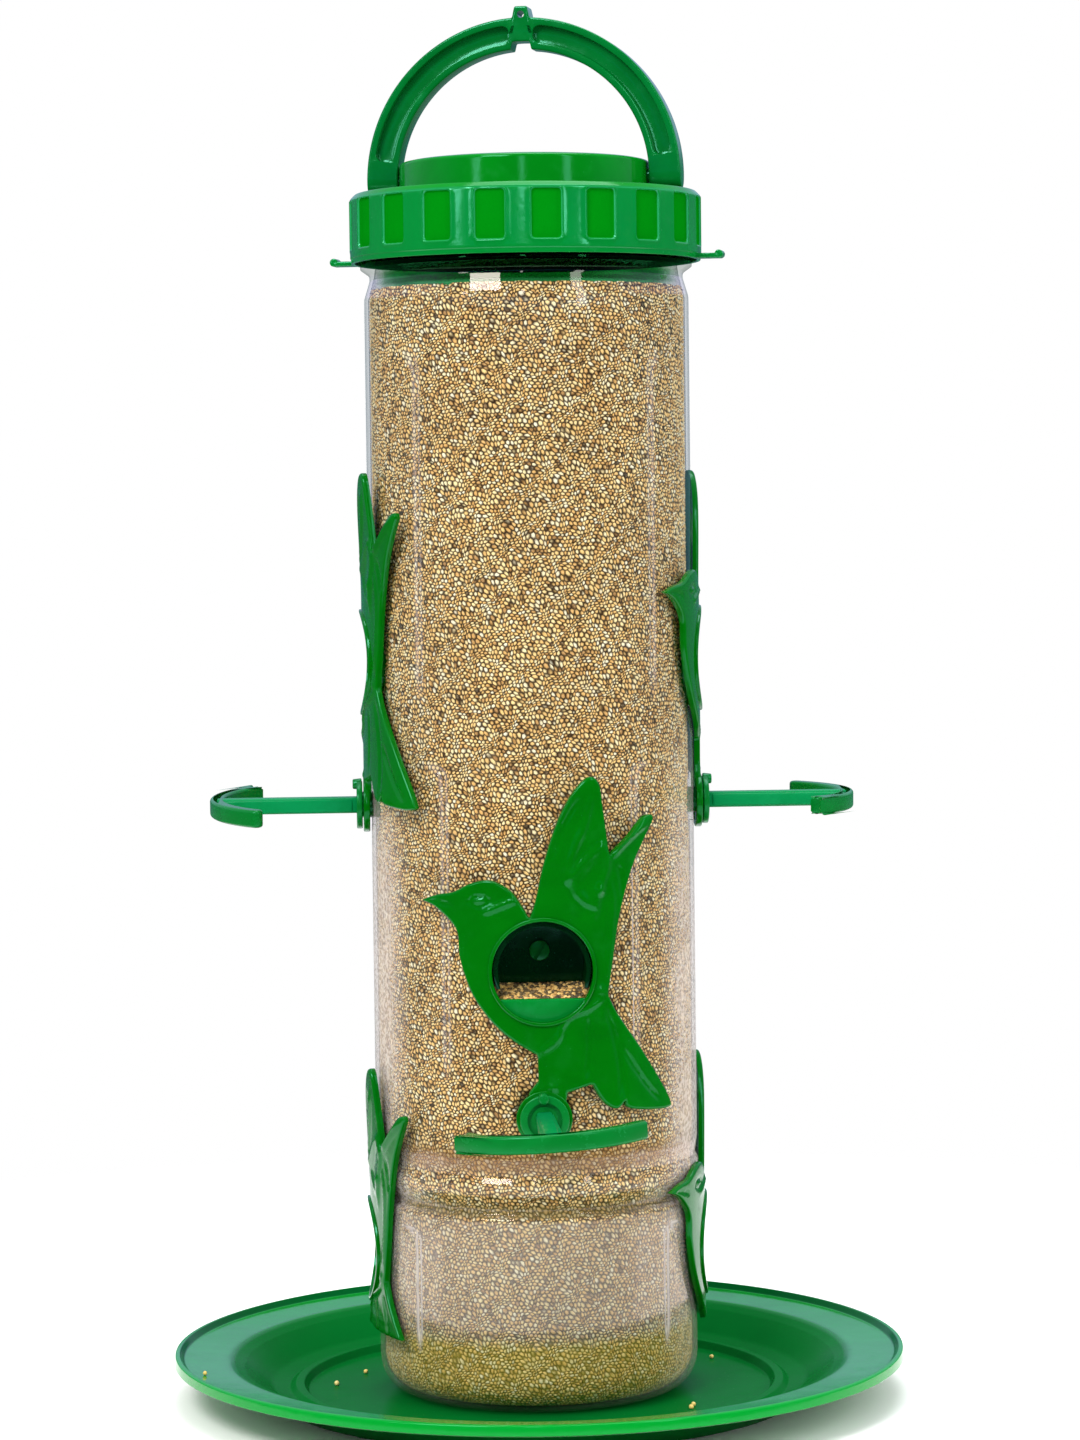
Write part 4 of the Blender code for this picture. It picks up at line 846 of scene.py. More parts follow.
def grain_mesh(name, nu, nv, periodic, pitch, place, keep=None, seed=1, jitter=0.31, depth=0.60, cuts=None):
    """A packed layer of grains: each grain is a low dome of six faces over the gaps round it.
    place(u, v, h) -> xyz in mm, with u, v along the layer in mm and h the height below its face."""
    rs = np.random.RandomState(seed)
    row = pitch * math.sqrt(3) / 2
    jj, ii = np.meshgrid(np.arange(nv), np.arange(nu), indexing='ij')
    cu = (ii + 0.5 * (jj % 2)) * pitch + (rs.rand(nv, nu) - 0.5) * 2 * jitter * pitch
    cv = jj * row + (rs.rand(nv, nu) - 0.5) * 2 * jitter * pitch
    width = nu * pitch
    odd = (jj % 2)
    # slow drift, so that no straight rows show
    for wu, wv, ph in ((5, 0.9, 0.3), (-9, 0.6, 2.1), (14, -0.75, 4.0), (23, 0.35, 1.2)):
        a = 2 * math.pi * cu / width * wu * 2 + cv * wv / pitch + ph
        cu = cu + 0.24 * pitch * np.sin(a)
        cv = cv + 0.24 * pitch * np.cos(a * 1.0 + 1.0)

    def at(arr, i, j):
        j2 = np.clip(j, 0, nv - 1)
        if periodic:
            return arr[j2, i % nu]
        return arr[j2, np.clip(i, 0, nu - 1)]

    def pos(i, j):
        u = at(cu, i, j)
        v = at(cv, i, j)
        if periodic:
            u = u + np.floor_divide(i, nu) * width
        return u, v

    u0, v0 = pos(ii, jj)
    ur, vr = pos(ii + 1, jj)
    uu, vu = pos(ii + odd, jj + 1)          # the centre above and between
    ul, vl = pos(ii + odd - 1, jj + 1)
    up = np.stack([(u0 + ur + uu) / 3, (v0 + vr + vu) / 3], -1)
    dn = np.stack([(u0 + ul + uu) / 3, (v0 + vl + vu) / 3], -1)
    n = nu * nv
    idx = np.arange(n).reshape(nv, nu)
    rows = np.arange(1, nv - 1)
    if periodic:
        J, I = np.meshgrid(rows, np.arange(nu), indexing='ij')
    else:
        J, I = np.meshgrid(rows, np.arange(1, nu - 1), indexing='ij')
    O = J % 2

    def ix(i, j):
        return idx[j, i % nu] if periodic else idx[j, np.clip(i, 0, nu - 1)]

    C = ix(I, J)
    g = [n + ix(I, J), 2 * n + ix(I, J), n + ix(I - 1, J), 2 * n + ix(I - 1 + O, J - 1),
         n + ix(I - 1 + O, J - 1), 2 * n + ix(I + O, J - 1)]
    uv = np.concatenate([np.stack([u0, v0], -1).reshape(-1, 2), up.reshape(-1, 2), dn.reshape(-1, 2)])
    size = 0.75 + 0.5 * rs.rand(n)
    sunk = np.where(rs.rand(n) < 0.16, 0.25 + 0.35 * rs.rand(n), rs.rand(n) * 0.2)
    h = np.concatenate([sunk, depth * (0.8 + 0.4 * rs.rand(2 * n))])
    # dome also drives painted shade in the millet material: low in the gaps and on sunken grains, which are painted
    # darker
    dome = np.concatenate([np.clip(1.0 - 1.35 * np.maximum(sunk - 0.15, 0), 0.3, 1), 0.16 * rs.rand(2 * n)])
    tris = np.stack([np.stack([C, g[k], g[(k + 1) % 6]], -1) for k in range(6)], -2)
    tris = tris.reshape(-1, 6, 3)
    centre_uv = uv[C.reshape(-1)]
    lane = J.reshape(-1)
    if keep is not None:
        ok = keep(centre_uv[:, 0], centre_uv[:, 1])
        tris, lane = tris[ok], lane[ok]
    tint = rs.rand(len(tris))
    xyz = place(uv[:, 0], uv[:, 1], h)
    cuts = cuts or [0, nv]
    made = []
    for k, (first, last) in enumerate(zip(cuts, cuts[1:])):
        mine = (lane >= first) & (lane < last)
        part = tris[mine].reshape(-1, 3)
        used = np.unique(part)
        remap = np.full(len(xyz), -1)
        remap[used] = np.arange(len(used))
        me = np_mesh("%s_%d" % (name, k + 1) if len(cuts) > 2 else name, xyz[used], remap[part])
        me.attributes.new("tint", 'FLOAT', 'FACE').data.foreach_set(
            'value', np.repeat(tint[mine], 6).astype(np.float32))
        me.attributes.new("dome", 'FLOAT', 'POINT').data.foreach_set('value', dome[used].astype(np.float32))
        made.append(me)
    return made


PITCH = 1.26


def build_seed_column(inner):
    line = np.array(seed_radius_line(inner))
    s = np.concatenate([[0], np.cumsum(np.hypot(*np.diff(line, axis=0).T))])
    nu = int(round(2 * math.pi * (JAR_R - JAR_WALL - 0.3) / PITCH))
    width = nu * PITCH
    row = PITCH * math.sqrt(3) / 2
    total = int(s[-1] / row) + 2

    def place(u, v, h):
        r = np.interp(v, s, line[:, 0])
        z = np.interp(v, s, line[:, 1])
        th = u / width * 2 * math.pi
        # pulled in round the perch lugs, which reach in through the wall
        for name, turn, level, perch in PORTS:
            if perch:
                zc = LEVEL[level] - PERCH_DROP
                off = (np.degrees(th) - turn + 180.0) % 360.0 - 180.0
                d = np.hypot(np.radians(off) * JAR_R, z - zc)
                r = r - 4.6 * (1 - smoothstep(d, 7.4, 9.6))
        r = r - h
        return np.stack([r * np.sin(th), -r * np.cos(th), z], -1)

    def keep(u, v):
        z = np.interp(v, s, line[:, 1])
        r = np.interp(v, s, line[:, 0])
        th = u / width * 2 * math.pi
        ok = np.ones(u.shape, bool)
        for name, turn, level, perch in PORTS:
            off = (np.degrees(th) - turn + 180.0) % 360.0 - 180.0
            x = np.sin(np.radians(off)) * r
            ok &= ~((np.abs(off) < 60) & (np.hypot(x, z - LEVEL[level]) < TUBE_R - 0.15))
        return ok

    # one packed sheet, parted into three rings of grains
    for me in grain_mesh("seed_column", nu, total, True, PITCH, place, keep, seed=11,
                         cuts=[0, total // 3, 2 * total // 3, total]):
        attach(piece(me.name, me, MILLET), "feeder")
    # heaped top of the fill
    n = int(100.0 / PITCH) + 2

    def place_top(u, v, h):
        x, y = u - 50.0, v - 50.0
        r = np.hypot(x, y)
        lump = 0.5 * np.sin(x * 0.16 + 1.0) * np.cos(y * 0.13) + 0.3 * np.sin(x * 0.4 + y * 0.31)
        return np.stack([x, y, 341.6 + 0.4 * lump - h], -1)

    me = grain_mesh("seed_top", n, int(100.0 / row) + 2, False, PITCH, place_top,
                    lambda u, v: np.hypot(u - 50.0, v - 50.0) < 47.6, seed=31)[0]
    obj = piece("seed_top", me, MILLET)
    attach(obj, "feeder")


def grain_shape():
    bm = bmesh.new()
    bmesh.ops.create_icosphere(bm, subdivisions=2, radius=1.0)
    v = np.array([tuple(p.co) for p in bm.verts])
    f = np.array([[p.index for p in q.verts] for q in bm.faces])
    bm.free()
    # a millet grain: round, a little pointed at one end
    v[:, 2] *= 1.14
    tip = v[:, 2] > 0.5
    v[tip, :2] *= (1 - 0.35 * (v[tip, 2:3] - 0.5))
    return v, f


GRAIN_V, GRAIN_F = grain_shape()


def scatter_grains(name, centres, size, seed, tint_bias=0.0):
    """Loose grains as real closed shells at the given centres (mm)."""
    rs = np.random.RandomState(seed)
    n = len(centres)
    q = rs.normal(size=(n, 4))
    q /= np.linalg.norm(q, axis=1)[:, None]
    w, x, y, z = q.T
    R = np.stack([np.stack([1 - 2 * (y * y + z * z), 2 * (x * y - z * w), 2 * (x * z + y * w)], -1),
                  np.stack([2 * (x * y + z * w), 1 - 2 * (x * x + z * z), 2 * (y * z - x * w)], -1),
                  np.stack([2 * (x * z - y * w), 2 * (y * z + x * w), 1 - 2 * (x * x + y * y)], -1)], -2)
    s = size * (0.86 + 0.28 * rs.rand(n))
    v = np.einsum('nij,kj->nki', R, GRAIN_V) * s[:, None, None] + np.asarray(centres)[:, None, :]
    f = GRAIN_F[None] + (np.arange(n) * len(GRAIN_V))[:, None, None]
    me = np_mesh(name, v.reshape(-1, 3), f.reshape(-1, 3))
    tint = np.clip(rs.rand(n) + tint_bias, 0, 1)
    me.attributes.new("tint", 'FLOAT', 'FACE').data.foreach_set(
        'value', np.repeat(tint, len(GRAIN_F)).astype(np.float32))
    me.attributes.new("dome", 'FLOAT', 'POINT').data.foreach_set(
        'value', np.ones(n * len(GRAIN_V), np.float32))
    return me


def mouth_height(R):
    return -8.9 + (49.5 - R) * (3.3 / 17.5)


def build_mouths():
    for k, (name, turn, level, perch) in enumerate(PORTS):
        rs = np.random.RandomState(60 + k)
        pts = []
        pitch = 1.22
        for layer in range(2):
            R = 48.0
            j = 0
            while R > 28.0:
                h = mouth_height(R) - 0.75 - 0.95 * layer
                half = math.sqrt(max(0.0, 14.3 ** 2 - h * h)) if R > 42.8 else 14.0
                cols = int(2 * half / pitch)
                for i in range(cols + 1):
                    x = -half + (i + 0.5 * (j % 2)) * 2 * half / cols
                    if abs(x) > half:
                        continue
                    jx, jy, jz = (rs.rand(3) - 0.5) * (0.55, 0.55, 0.5)
                    bowl = 0.6 * (x / 13.0) ** 2
                    pts.append((x + jx, -(R + jy), h + jz + bowl))
                R -= pitch * 0.86
                j += 1
        # painted shade: the grains in the mouth get darker tints, for the shade under the hood
        me = scatter_grains("seed_mouth_" + name, pts, 0.66, 80 + k, -0.52)
        me.transform(Matrix.Translation((0, 0, LEVEL[level] * MM)))
        me.transform(spin(turn))
        obj = piece("seed_mouth_" + name, me, MILLET)
        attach(obj, "feeder")


# ================================================================= bird-shaped ports
BIRD = [
    (-37.8, 21.0, 1), (-32.6, 22.8, 0), (-27.0, 23.8, 0), (-21.5, 26.4, 0), (-15.5, 27.4, 0),
    (-9.5, 24.5, 0), (-6.0, 19.8, 0), (-3.8, 16.0, 1),
    (-2.0, 21.0, 0), (0.8, 33.0, 0), (5.0, 45.5, 0), (9.5, 53.7, 0), (14.0, 58.0, 0),
    (16.9, 56.0, 0), (18.2, 49.0, 0), (20.5, 34.5, 1),
    (26.5, 39.5, 0), (32.0, 45.2, 0), (35.4, 45.0, 0), (32.0, 38.2, 0), (28.9, 32.0, 0),
    (26.0, 23.5, 0), (23.6, 14.0, 0), (21.8, 3.0, 0), (20.0, -7.5, 1),
    (23.5, -14.0, 0), (32.2, -26.3, 0), (41.0, -40.5, 0), (39.5, -43.3, 0), (26.5, -42.2, 0),
    (24.8, -39.7, 1), (22.0, -42.0, 0), (18.0, -39.7, 0), (14.5, -34.2, 1), (7.0, -36.4, 1),
    (6.0, -44.0, 1), (-5.0, -44.0, 1), (-4.5, -36.0, 1), (-1.6, -32.5, 1), (-1.8, -25.0, 1),
    (-9.5, -20.2, 0), (-15.8, -14.5, 0), (-21.5, -6.5, 0), (-25.2, 4.0, 0), (-26.2, 12.5, 0),
    (-32.5, 18.7, 0)]

# relief lines on the bird: points, half-width, height (negative is a groove)
RELIEF = [
    # far wing: midrib and feather edges
    ([(14.2, 52.0), (13.4, 47.5), (12.0, 42.2), (9.7, 36.9), (8.2, 32.3), (7.3, 26.9)], 1.1, 0.42),
    ([(3.2, 34.0), (6.5, 43.5), (11.0, 51.5)], 0.7, -0.28),
    # raised feather between the wings
    ([(7.3, 26.9), (10.3, 31.0), (14.4, 34.9), (18.3, 37.9)], 0.8, 0.40),
    ([(18.3, 37.9), (19.9, 32.7), (18.8, 27.5), (16.9, 22.2), (16.0, 15.6)], 0.8, 0.40),
    # near wing ridge
    ([(21.2, 33.7), (24.5, 37.2), (29.1, 41.0), (33.4, 44.0)], 0.9, 0.42),
    ([(23.4, 31.3), (24.5, 26.5), (24.9, 21.9)], 0.55, -0.30),
    ([(20.3, 27.0), (21.5, 20.0), (20.6, 8.0), (19.2, -2.0)], 0.7, 0.30),
    # nape and throat
    ([(-17.5, 17.7), (-14.4, 18.9), (-11.0, 20.3), (-7.6, 21.6)], 0.75, 0.38),
    ([(-27.5, 19.6), (-31.0, 20.6), (-35.2, 21.0)], 0.45, -0.22),
    # belly line above the tail, and tail feathers
    ([(18.0, -8.6), (13.0, -11.4), (8.2, -13.0), (5.8, -15.9), (4.3, -19.8), (2.0, -22.1), (-1.0, -23.9)], 0.75, 0.36),
    ([(13.4, -14.7), (13.6, -23.3), (12.7, -32.0)], 0.7, -0.30),
    ([(19.2, -12.0), (21.5, -19.0), (23.4, -29.1), (23.6, -38.4)], 0.75, -0.34),
    ([(24.9, -24.5), (28.3, -30.1), (32.4, -35.7), (36.6, -40.4)], 0.7, -0.34),
]
BUMPS = [(17.6, 23.9, 1.5, 0.35), (17.6, -6.4, 1.5, 0.3), (2.6, -34.6, 1.2, 0.35)]
EYE = [(-21.9, 21.0), (-20.3, 22.2), (-18.5, 22.6), (-16.6, 22.2), (-15.2, 21.3), (-17.2, 20.2),
       (-19.4, 19.8)]
LEAF = [(7.3, 26.9), (10.3, 31.0), (14.4, 34.9), (18.3, 37.9), (19.9, 32.7), (18.8, 27.5),
        (16.9, 22.2), (16.0, 17.6), (12.0, 19.5), (9.0, 22.5)]


def clip_below(loop, limit):
    out = []
    for i, (x, y) in enumerate(loop):
        px, py = loop[i - 1]
        if (py >= limit) != (y >= limit):
            t = (limit - py) / (y - py)
            out.append((px + (x - px) * t, limit))
        if y >= limit:
            out.append((x, y))
    return out


def bird_height(x, y, edge, hole):
    """Height of the plate's face above its back at each point."""
    h = np.full(x.shape, PLATE_T)
    for pts, wid, amp in RELIEF:
        line = spline_through(pts, 1.0)
        d, along = to_segments(x, y, line)
        taper = np.clip(np.minimum(along, 1 - along) / 0.16, 0.0, 1.0) ** 0.7
        h = h + 1.75 * amp * np.exp(-(d / wid) ** 2) * (0.25 + 0.75 * taper)
    for bx, by, wid, amp in BUMPS:
        h = h + 1.5 * amp * np.exp(-(np.hypot(x - bx, y - by) / wid) ** 2)
    # the feather between the wings stands up from them, dished down its middle
    leaf = np.array(LEAF)
    dl, _ = to_segments(x, y, leaf, closed=True)
    inl = inside_loop(x, y, LEAF)
    h = h + np.where(inl, 0.5 * smoothstep(dl, 0.0, 0.9) - 0.4 * smoothstep(dl, 1.5, 4.5), 0.0)
    # eye: almond groove with a raised lens
    eye = np.array(EYE)
    de, _ = to_segments(x, y, eye, closed=True)
    ine = inside_loop(x, y, EYE)
    h = h - 0.38 * np.exp(-(de / 0.42) ** 2) + np.where(ine, 0.34 * smoothstep(de, 0.25, 1.0), 0.0)
    # the fall-away of the faces to both sides of the body is scaled to nothing here
    h = h - 0.25 * smoothstep(hole, 10.0, 0.5) * 0.0
    # rounded outer edge
    rr = 0.75
    fall = np.where(edge < rr, rr - np.sqrt(np.maximum(rr * rr - (rr - np.minimum(edge, rr)) ** 2, 0)), 0.0)
    return h - fall


def bird_plate(name, trimmed):
    loop = smooth_loop(BIRD, 1.4)
    if trimmed:
        loop = clip_below(loop, LOW_TRIM)
    outline = resample(loop, 0.8, closed=True)
    mid = PLATE_IN_R + PLATE_T / 2
    r_hole = HOLE_R + 0.62
    hole = np.array([(mid * math.asin(r_hole * math.cos(a) / mid), r_hole * math.sin(a))
                     for a in np.linspace(0, 2 * math.pi, 112, endpoint=False)])
    # inner points: rows just inside the edge, then an even field
    nxt, prv = np.roll(outline, -1, 0), np.roll(outline, 1, 0)
    tang = nxt - prv
    tang /= np.maximum(np.hypot(*tang.T), 1e-9)[:, None]
    area = 0.5 * np.sum(outline[:, 0] * nxt[:, 1] - nxt[:, 0] * outline[:, 1])
    normal = np.stack([-tang[:, 1], tang[:, 0]], -1) * (1 if area > 0 else -1)
    pts = []
    for d in (0.10, 0.28, 0.55, 0.95):
        cand = outline + normal * d
        de, _ = to_segments(cand[:, 0], cand[:, 1], outline, closed=True)
        ok = (de > 0.85 * d) & inside_loop(cand[:, 0], cand[:, 1], outline)
        pts.append(cand[ok])
    step = 0.85
    gx, gy = np.meshgrid(np.arange(-42, 44, step), np.arange(-46, 60, step * 0.866))
    gx = gx + (np.arange(gx.shape[0])[:, None] % 2) * step / 2
    gx, gy = gx.ravel(), gy.ravel()
    ok = inside_loop(gx, gy, outline)
    gx, gy = gx[ok], gy[ok]
    de, _ = to_segments(gx, gy, outline, closed=True)
    ok = de > 1.3
    pts.append(np.stack([gx[ok], gy[ok]], -1))
    pts = np.concatenate(pts)
    dh, _ = to_segments(pts[:, 0], pts[:, 1], hole, closed=True)
    ok = ~inside_loop(pts[:, 0], pts[:, 1], hole) & (dh > 0.4)
    pts = pts[ok]
    allp = np.concatenate([outline, hole, pts])
    n1, n2 = len(outline), len(hole)
    edges = [(i, (i + 1) % n1) for i in range(n1)] + [(n1 + i, n1 + (i + 1) % n2) for i in range(n2)]
    res = delaunay_2d_cdt([Vector(p) for p in allp], edges, [], 1, 1e-5)
    v2 = np.array([tuple(v) for v in res[0]])
    tri = [f for f in res[2] if len(f) == 3]
    tri = np.array(tri)
    cen = v2[tri].mean(1)
    tri = tri[~inside_loop(cen[:, 0], cen[:, 1], hole) & inside_loop(cen[:, 0], cen[:, 1], outline)]
    # one winding
    a, b, c = v2[tri[:, 0]], v2[tri[:, 1]], v2[tri[:, 2]]
    cr = (b[:, 0] - a[:, 0]) * (c[:, 1] - a[:, 1]) - (b[:, 1] - a[:, 1]) * (c[:, 0] - a[:, 0])
    tri[cr < 0] = tri[cr < 0][:, ::-1]
    x, y = v2[:, 0], v2[:, 1]
    edge, _ = to_segments(x, y, outline, closed=True)
    dhole, _ = to_segments(x, y, hole, closed=True)
    front = bird_height(x, y, edge, dhole)
    front = np.maximum(front, 0.9)
    reach = (np.hypot(x, y) - STAND_FROM) / (STAND_TO - STAND_FROM)
    foot = np.clip((np.abs(x) - 9.0) / 16.0, 0, 1)
    reach = np.where(y < -20.0, reach * foot, reach)
    off = STAND_OFF * np.clip(reach, 0, 1) ** 1.6
    ang = x / mid

    def wrap(h):
        r = PLATE_IN_R + h + off
        return np.stack([r * np.sin(ang), -r * np.cos(ang), y], -1)

    n = len(v2)
    verts = np.concatenate([wrap(front), wrap(np.zeros(n))])
    # side walls along the open edges of the triangulated face
    e = np.concatenate([tri[:, [0, 1]], tri[:, [1, 2]], tri[:, [2, 0]]])
    key = {}
    for p, q in e:
        key[(p, q)] = 1
    rim = np.array([(p, q) for p, q in key if (q, p) not in key])
    walls = np.concatenate([np.stack([rim[:, 0], rim[:, 0] + n, rim[:, 1] + n], -1),
                            np.stack([rim[:, 0], rim[:, 1] + n, rim[:, 1]], -1)])
    faces = np.concatenate([tri, tri[:, ::-1] + n, walls])
    used = np.unique(faces)
    remap = np.full(len(verts), -1)
    remap[used] = np.arange(len(used))
    me = np_mesh(name, verts[used], remap[faces])
    recalc(me)
    return smooth_by_angle(piece(name, me, BIRD_GREEN), 50.0)


def tube_shell(name):
    """Spigot through the jar wall, its outer end following the plate, all edges rounded."""
    n = 112
    th = np.linspace(0, 2 * math.pi, n, endpoint=False)
    rows = []
    sec = [(HOLE_R, 0.35), (HOLE_R + 0.08, 0.12), (HOLE_R + 0.3, 0.0), (TUBE_R - 0.3, 0.0),
           (TUBE_R - 0.08, 0.12), (TUBE_R, 0.35)]
    for r, drop in sec:
        x, z = r * np.cos(th), r * np.sin(th)
        rows.append(np.stack([x, -(np.sqrt(RIM_OUT_R ** 2 - x * x) - drop), z], -1))
    for r, at in ((TUBE_R, 49.0), (TUBE_R, SPIGOT_IN_R + 0.3), (TUBE_R - 0.3, SPIGOT_IN_R),
                  (HOLE_R + 0.3, SPIGOT_IN_R), (HOLE_R, SPIGOT_IN_R + 0.3), (HOLE_R, 47.0)):
        x, z = r * np.cos(th), r * np.sin(th)
        # follow the curve a little less than the outer end so no two rows cross
        back = np.where(at > 48, at - (RIM_OUT_R - np.sqrt(RIM_OUT_R ** 2 - x * x)) * 0.6, at)
        rows.append(np.stack([x, -back, z], -1))
    m = len(rows)
    verts = np.concatenate(rows)
    idx = np.arange(n * m).reshape(m, n)
    nx = np.roll(idx, -1, 1)
    faces = np.concatenate([np.stack([idx[k], idx[(k + 1) % m], nx[(k + 1) % m], nx[k]], -1)
                            for k in range(m)])
    me = np_mesh(name, verts, faces)
    recalc(me)
    return smooth_by_angle(piece(name, me, BIRD_GREEN), 50.0)


def lip_shell(name):
    """Seed lip: the bottom segment of a disc, its top edge rolled over."""
    r = TUBE_R - 0.5
    a0 = math.degrees(math.asin(LIP_TOP / r))
    loop = arc(0, 0, r, 180.0 - a0, 360.0 + a0, 40)
    obj = flat_outline(name, [loop], 1.8, LIP_GREEN_PAINTED_LIGHT, edge=0.55, edge_res=3)
    obj.data.transform(Matrix.Translation((0, -48.9 * MM, 0)) @ Matrix.Rotation(math.radians(90), 4, 'X'))
    return smooth_by_angle(obj, 50.0)


def key_loop():
    a = math.degrees(math.asin(KEY_W / 2 / KEY_R))
    pts = arc(0, 0, KEY_R, -90 + a, 90 - a, 14) + [(KEY_W / 2, KEY_H / 2), (-KEY_W / 2, KEY_H / 2)]
    pts += arc(0, 0, KEY_R, 90 + a, 270 - a, 14) + [(-KEY_W / 2, -KEY_H / 2), (KEY_W / 2, -KEY_H / 2)]
    return pts


def ring_shell(name):
    obj = flat_outline(name, [circle(0, 0, RING_R, 64), key_loop()], RING_OUT_R - RING_IN_R,
                       BIRD_GREEN, edge=0.35, edge_res=2)
    obj.data.transform(Matrix.Translation((0, -(RING_IN_R + RING_OUT_R) / 2 * MM, -PERCH_DROP * MM)) @
                       Matrix.Rotation(math.radians(90), 4, 'X'))
    return smooth_by_angle(obj, 50.0)


def build_ports():
    made = {}
    for perch in (True, False):
        parts = [bird_plate("plate", not perch), tube_shell("tube"), lip_shell("lip")]
        if perch:
            parts.append(ring_shell("ring"))
        made[perch] = join("bird_%s" % perch, parts)
    for name, turn, level, perch in PORTS:
        me = made[perch].data.copy()
        me.transform(Matrix.Translation((0, 0, LEVEL[level] * MM)))
        me.transform(spin(turn))
        obj = piece("bird_" + name, me, BIRD_GREEN)
        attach(obj, "feeder")
        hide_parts("port_" + name)
    for o in made.values():
        bpy.data.objects.remove(o, do_unlink=True)


# ================================================================= hoods
def build_hoods():
    side = math.cos(math.asin(HOOD_OPEN / HOOD_R))
    outer = [(HOOD_R * side, HOOD_OPEN)] + arc(0, 0, HOOD_R, 0, 180, 48) + [(-HOOD_R * side, HOOD_OPEN)]
    r = HOOD_R - HOOD_T
    low = HOOD_OPEN - 2.0
    inner = [(r * 0.92, low)] + arc(0, 0, r, 0, 180, 48) + [(-r * 0.92, low)]
    length = HOOD_FRONT_R - HOOD_BACK_R
    up = Matrix.Rotation(math.radians(90.0), 4, 'X')
    hood = flat_outline("hood", [outer], length, HOOD_GREEN)
    hood.data.transform(Matrix.Translation((0, -(HOOD_FRONT_R + HOOD_BACK_R) / 2 * MM, 0)) @ up)
    core = flat_outline("core", [inner], length)
    core.data.transform(Matrix.Translation((0, -((HOOD_FRONT_R + HOOD_BACK_R) / 2 + HOOD_T) * MM, 0)) @ up)
    hood = combine(hood, [('DIFFERENCE', core)])
    hood = bevelled(hood, 0.35, 3, 40.0)
    at = -HOOD_BACK_R - HOOD_T
    boss = bevelled(cyl("boss", 3.1, (0, at + 0.9, 4.4), (0, at - 1.5, 4.4), 32, BOSS_GREEN), 0.4, 3)
    slot = block("slot", (-4.6, at - 3.0, -0.55), (4.6, at - 0.5, 0.55))
    slot.data.transform(Matrix.Translation((0, 0, 4.4 * MM)) @ Matrix.Rotation(math.radians(-60.0), 4, 'Y'))
    boss = combine(boss, [('DIFFERENCE', slot)])
    hood = smooth_by_angle(join("hood", [hood, boss]), 40.0)
    for name, turn, level, perch in PORTS:
        me = hood.data.copy()
        me.transform(Matrix.Translation((0, 0, LEVEL[level] * MM)))
        me.transform(spin(turn))
        obj = piece("inner_hood_" + name, me, HOOD_GREEN)
        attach(obj, "feeder")
        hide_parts("hood_" + name)
    bpy.data.objects.remove(hood, do_unlink=True)


# ================================================================= perches
def build_perches():
    def y(r):
        return -(r - COLLAR_AT)
    spigot = cyl("spigot", PERCH_SPIGOT_R, (0, y(LUG_IN_R), 0), (0, y(COLLAR_AT + 0.8), 0), 40, PERCH_GREEN)
    collar = bevelled(cyl("collar", COLLAR_R, (0, 0, 0), (0, -COLLAR_T, 0), 72, PERCH_GREEN), 0.4, 3)
    recess = cyl("recess", 5.2, (0, -COLLAR_T + 1.45, 0), (0, -COLLAR_T - 2.0, 0), 48)
    nub = bevelled(cyl("nub", 1.8, (0, -0.2, 6.4), (0, -3.0, 6.4), 28, PERCH_GREEN, r2=1.5), 0.35, 3)
    lug = bevelled(block("lug", (-LUG_L / 2, y(LUG_OUT_R), -LUG_W / 2),
                         (LUG_L / 2, y(LUG_IN_R) - 0.001, LUG_W / 2), PERCH_GREEN), 0.4, 2)
    r_out = (BAR_HALF ** 2 + BAR_BACK ** 2) / (2 * BAR_BACK)
    centre = -(BAR_APEX_R - COLLAR_AT) + r_out
    half = math.degrees(math.asin((BAR_HALF - 1.0) / (r_out - BAR_T / 2)))
    outline = arc(0, centre, r_out, -90 - half, -90 + half, 48)
    tip = math.radians(-90 + half)
    tx, ty = (r_out - BAR_T / 2) * math.cos(tip), centre + (r_out - BAR_T / 2) * math.sin(tip)
    outline += arc(tx, ty, BAR_T / 2, -90 + half, 90 + half, 12)[1:-1]
    outline += arc(0, centre, r_out - BAR_T, -90 + half, -90 - half, 40)
    outline += arc(-tx, ty, BAR_T / 2, 90 - half, -90 - half, 12)[1:-1]
    bar = flat_outline("bar", [outline], BAR_H, PERCH_GREEN, edge=0.95, edge_res=4)
    rod = bevelled(block("rod", (-ROD_W / 2, y(BAR_APEX_R - BAR_T / 2), -ROD_H / 2),
                         (ROD_W / 2, y(COLLAR_AT + 0.5), ROD_H / 2), ROD_GREEN_PAINTED_LIGHT), 0.7, 3)
    gusset = bevelled(flat_outline("gusset", [[(-7.0, y(BAR_APEX_R - 3.0)), (7.0, y(BAR_APEX_R - 3.0)),
                                     (4.4, y(BAR_APEX_R - 5.4)), (3.3, y(BAR_APEX_R - 9.5)), (2.6, y(COLLAR_AT + 3.0)),
                                     (-2.6, y(COLLAR_AT + 3.0)), (-3.3, y(BAR_APEX_R - 9.5)),
                                     (-4.4, y(BAR_APEX_R - 5.4))]],
                                   3.8, ROD_GREEN_PAINTED_LIGHT), 0.5, 3)
    collar = combine(collar, [('DIFFERENCE', recess)])
    perch = smooth_by_angle(join("perch", [collar, spigot, rod, bar, gusset, nub, lug]), 40.0)
    for name, turn, level, has in PORTS:
        if not has:
            continue
        label = name.replace("_upper", "")
        z = LEVEL[level] - PERCH_DROP
        spot = spin(turn) @ Vector((0, -COLLAR_AT * MM, z * MM))
        me = perch.data.copy()
        me.transform(Matrix.Translation(spot) @ spin(turn) @
                     Matrix.Rotation(math.radians(-PERCH_ROLL[label]), 4, 'Y'))
        obj = piece("perch_bar_" + label, me, PERCH_GREEN)
        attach(obj, "perch_" + label)
        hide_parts("perch_" + label)
    bpy.data.objects.remove(perch, do_unlink=True)


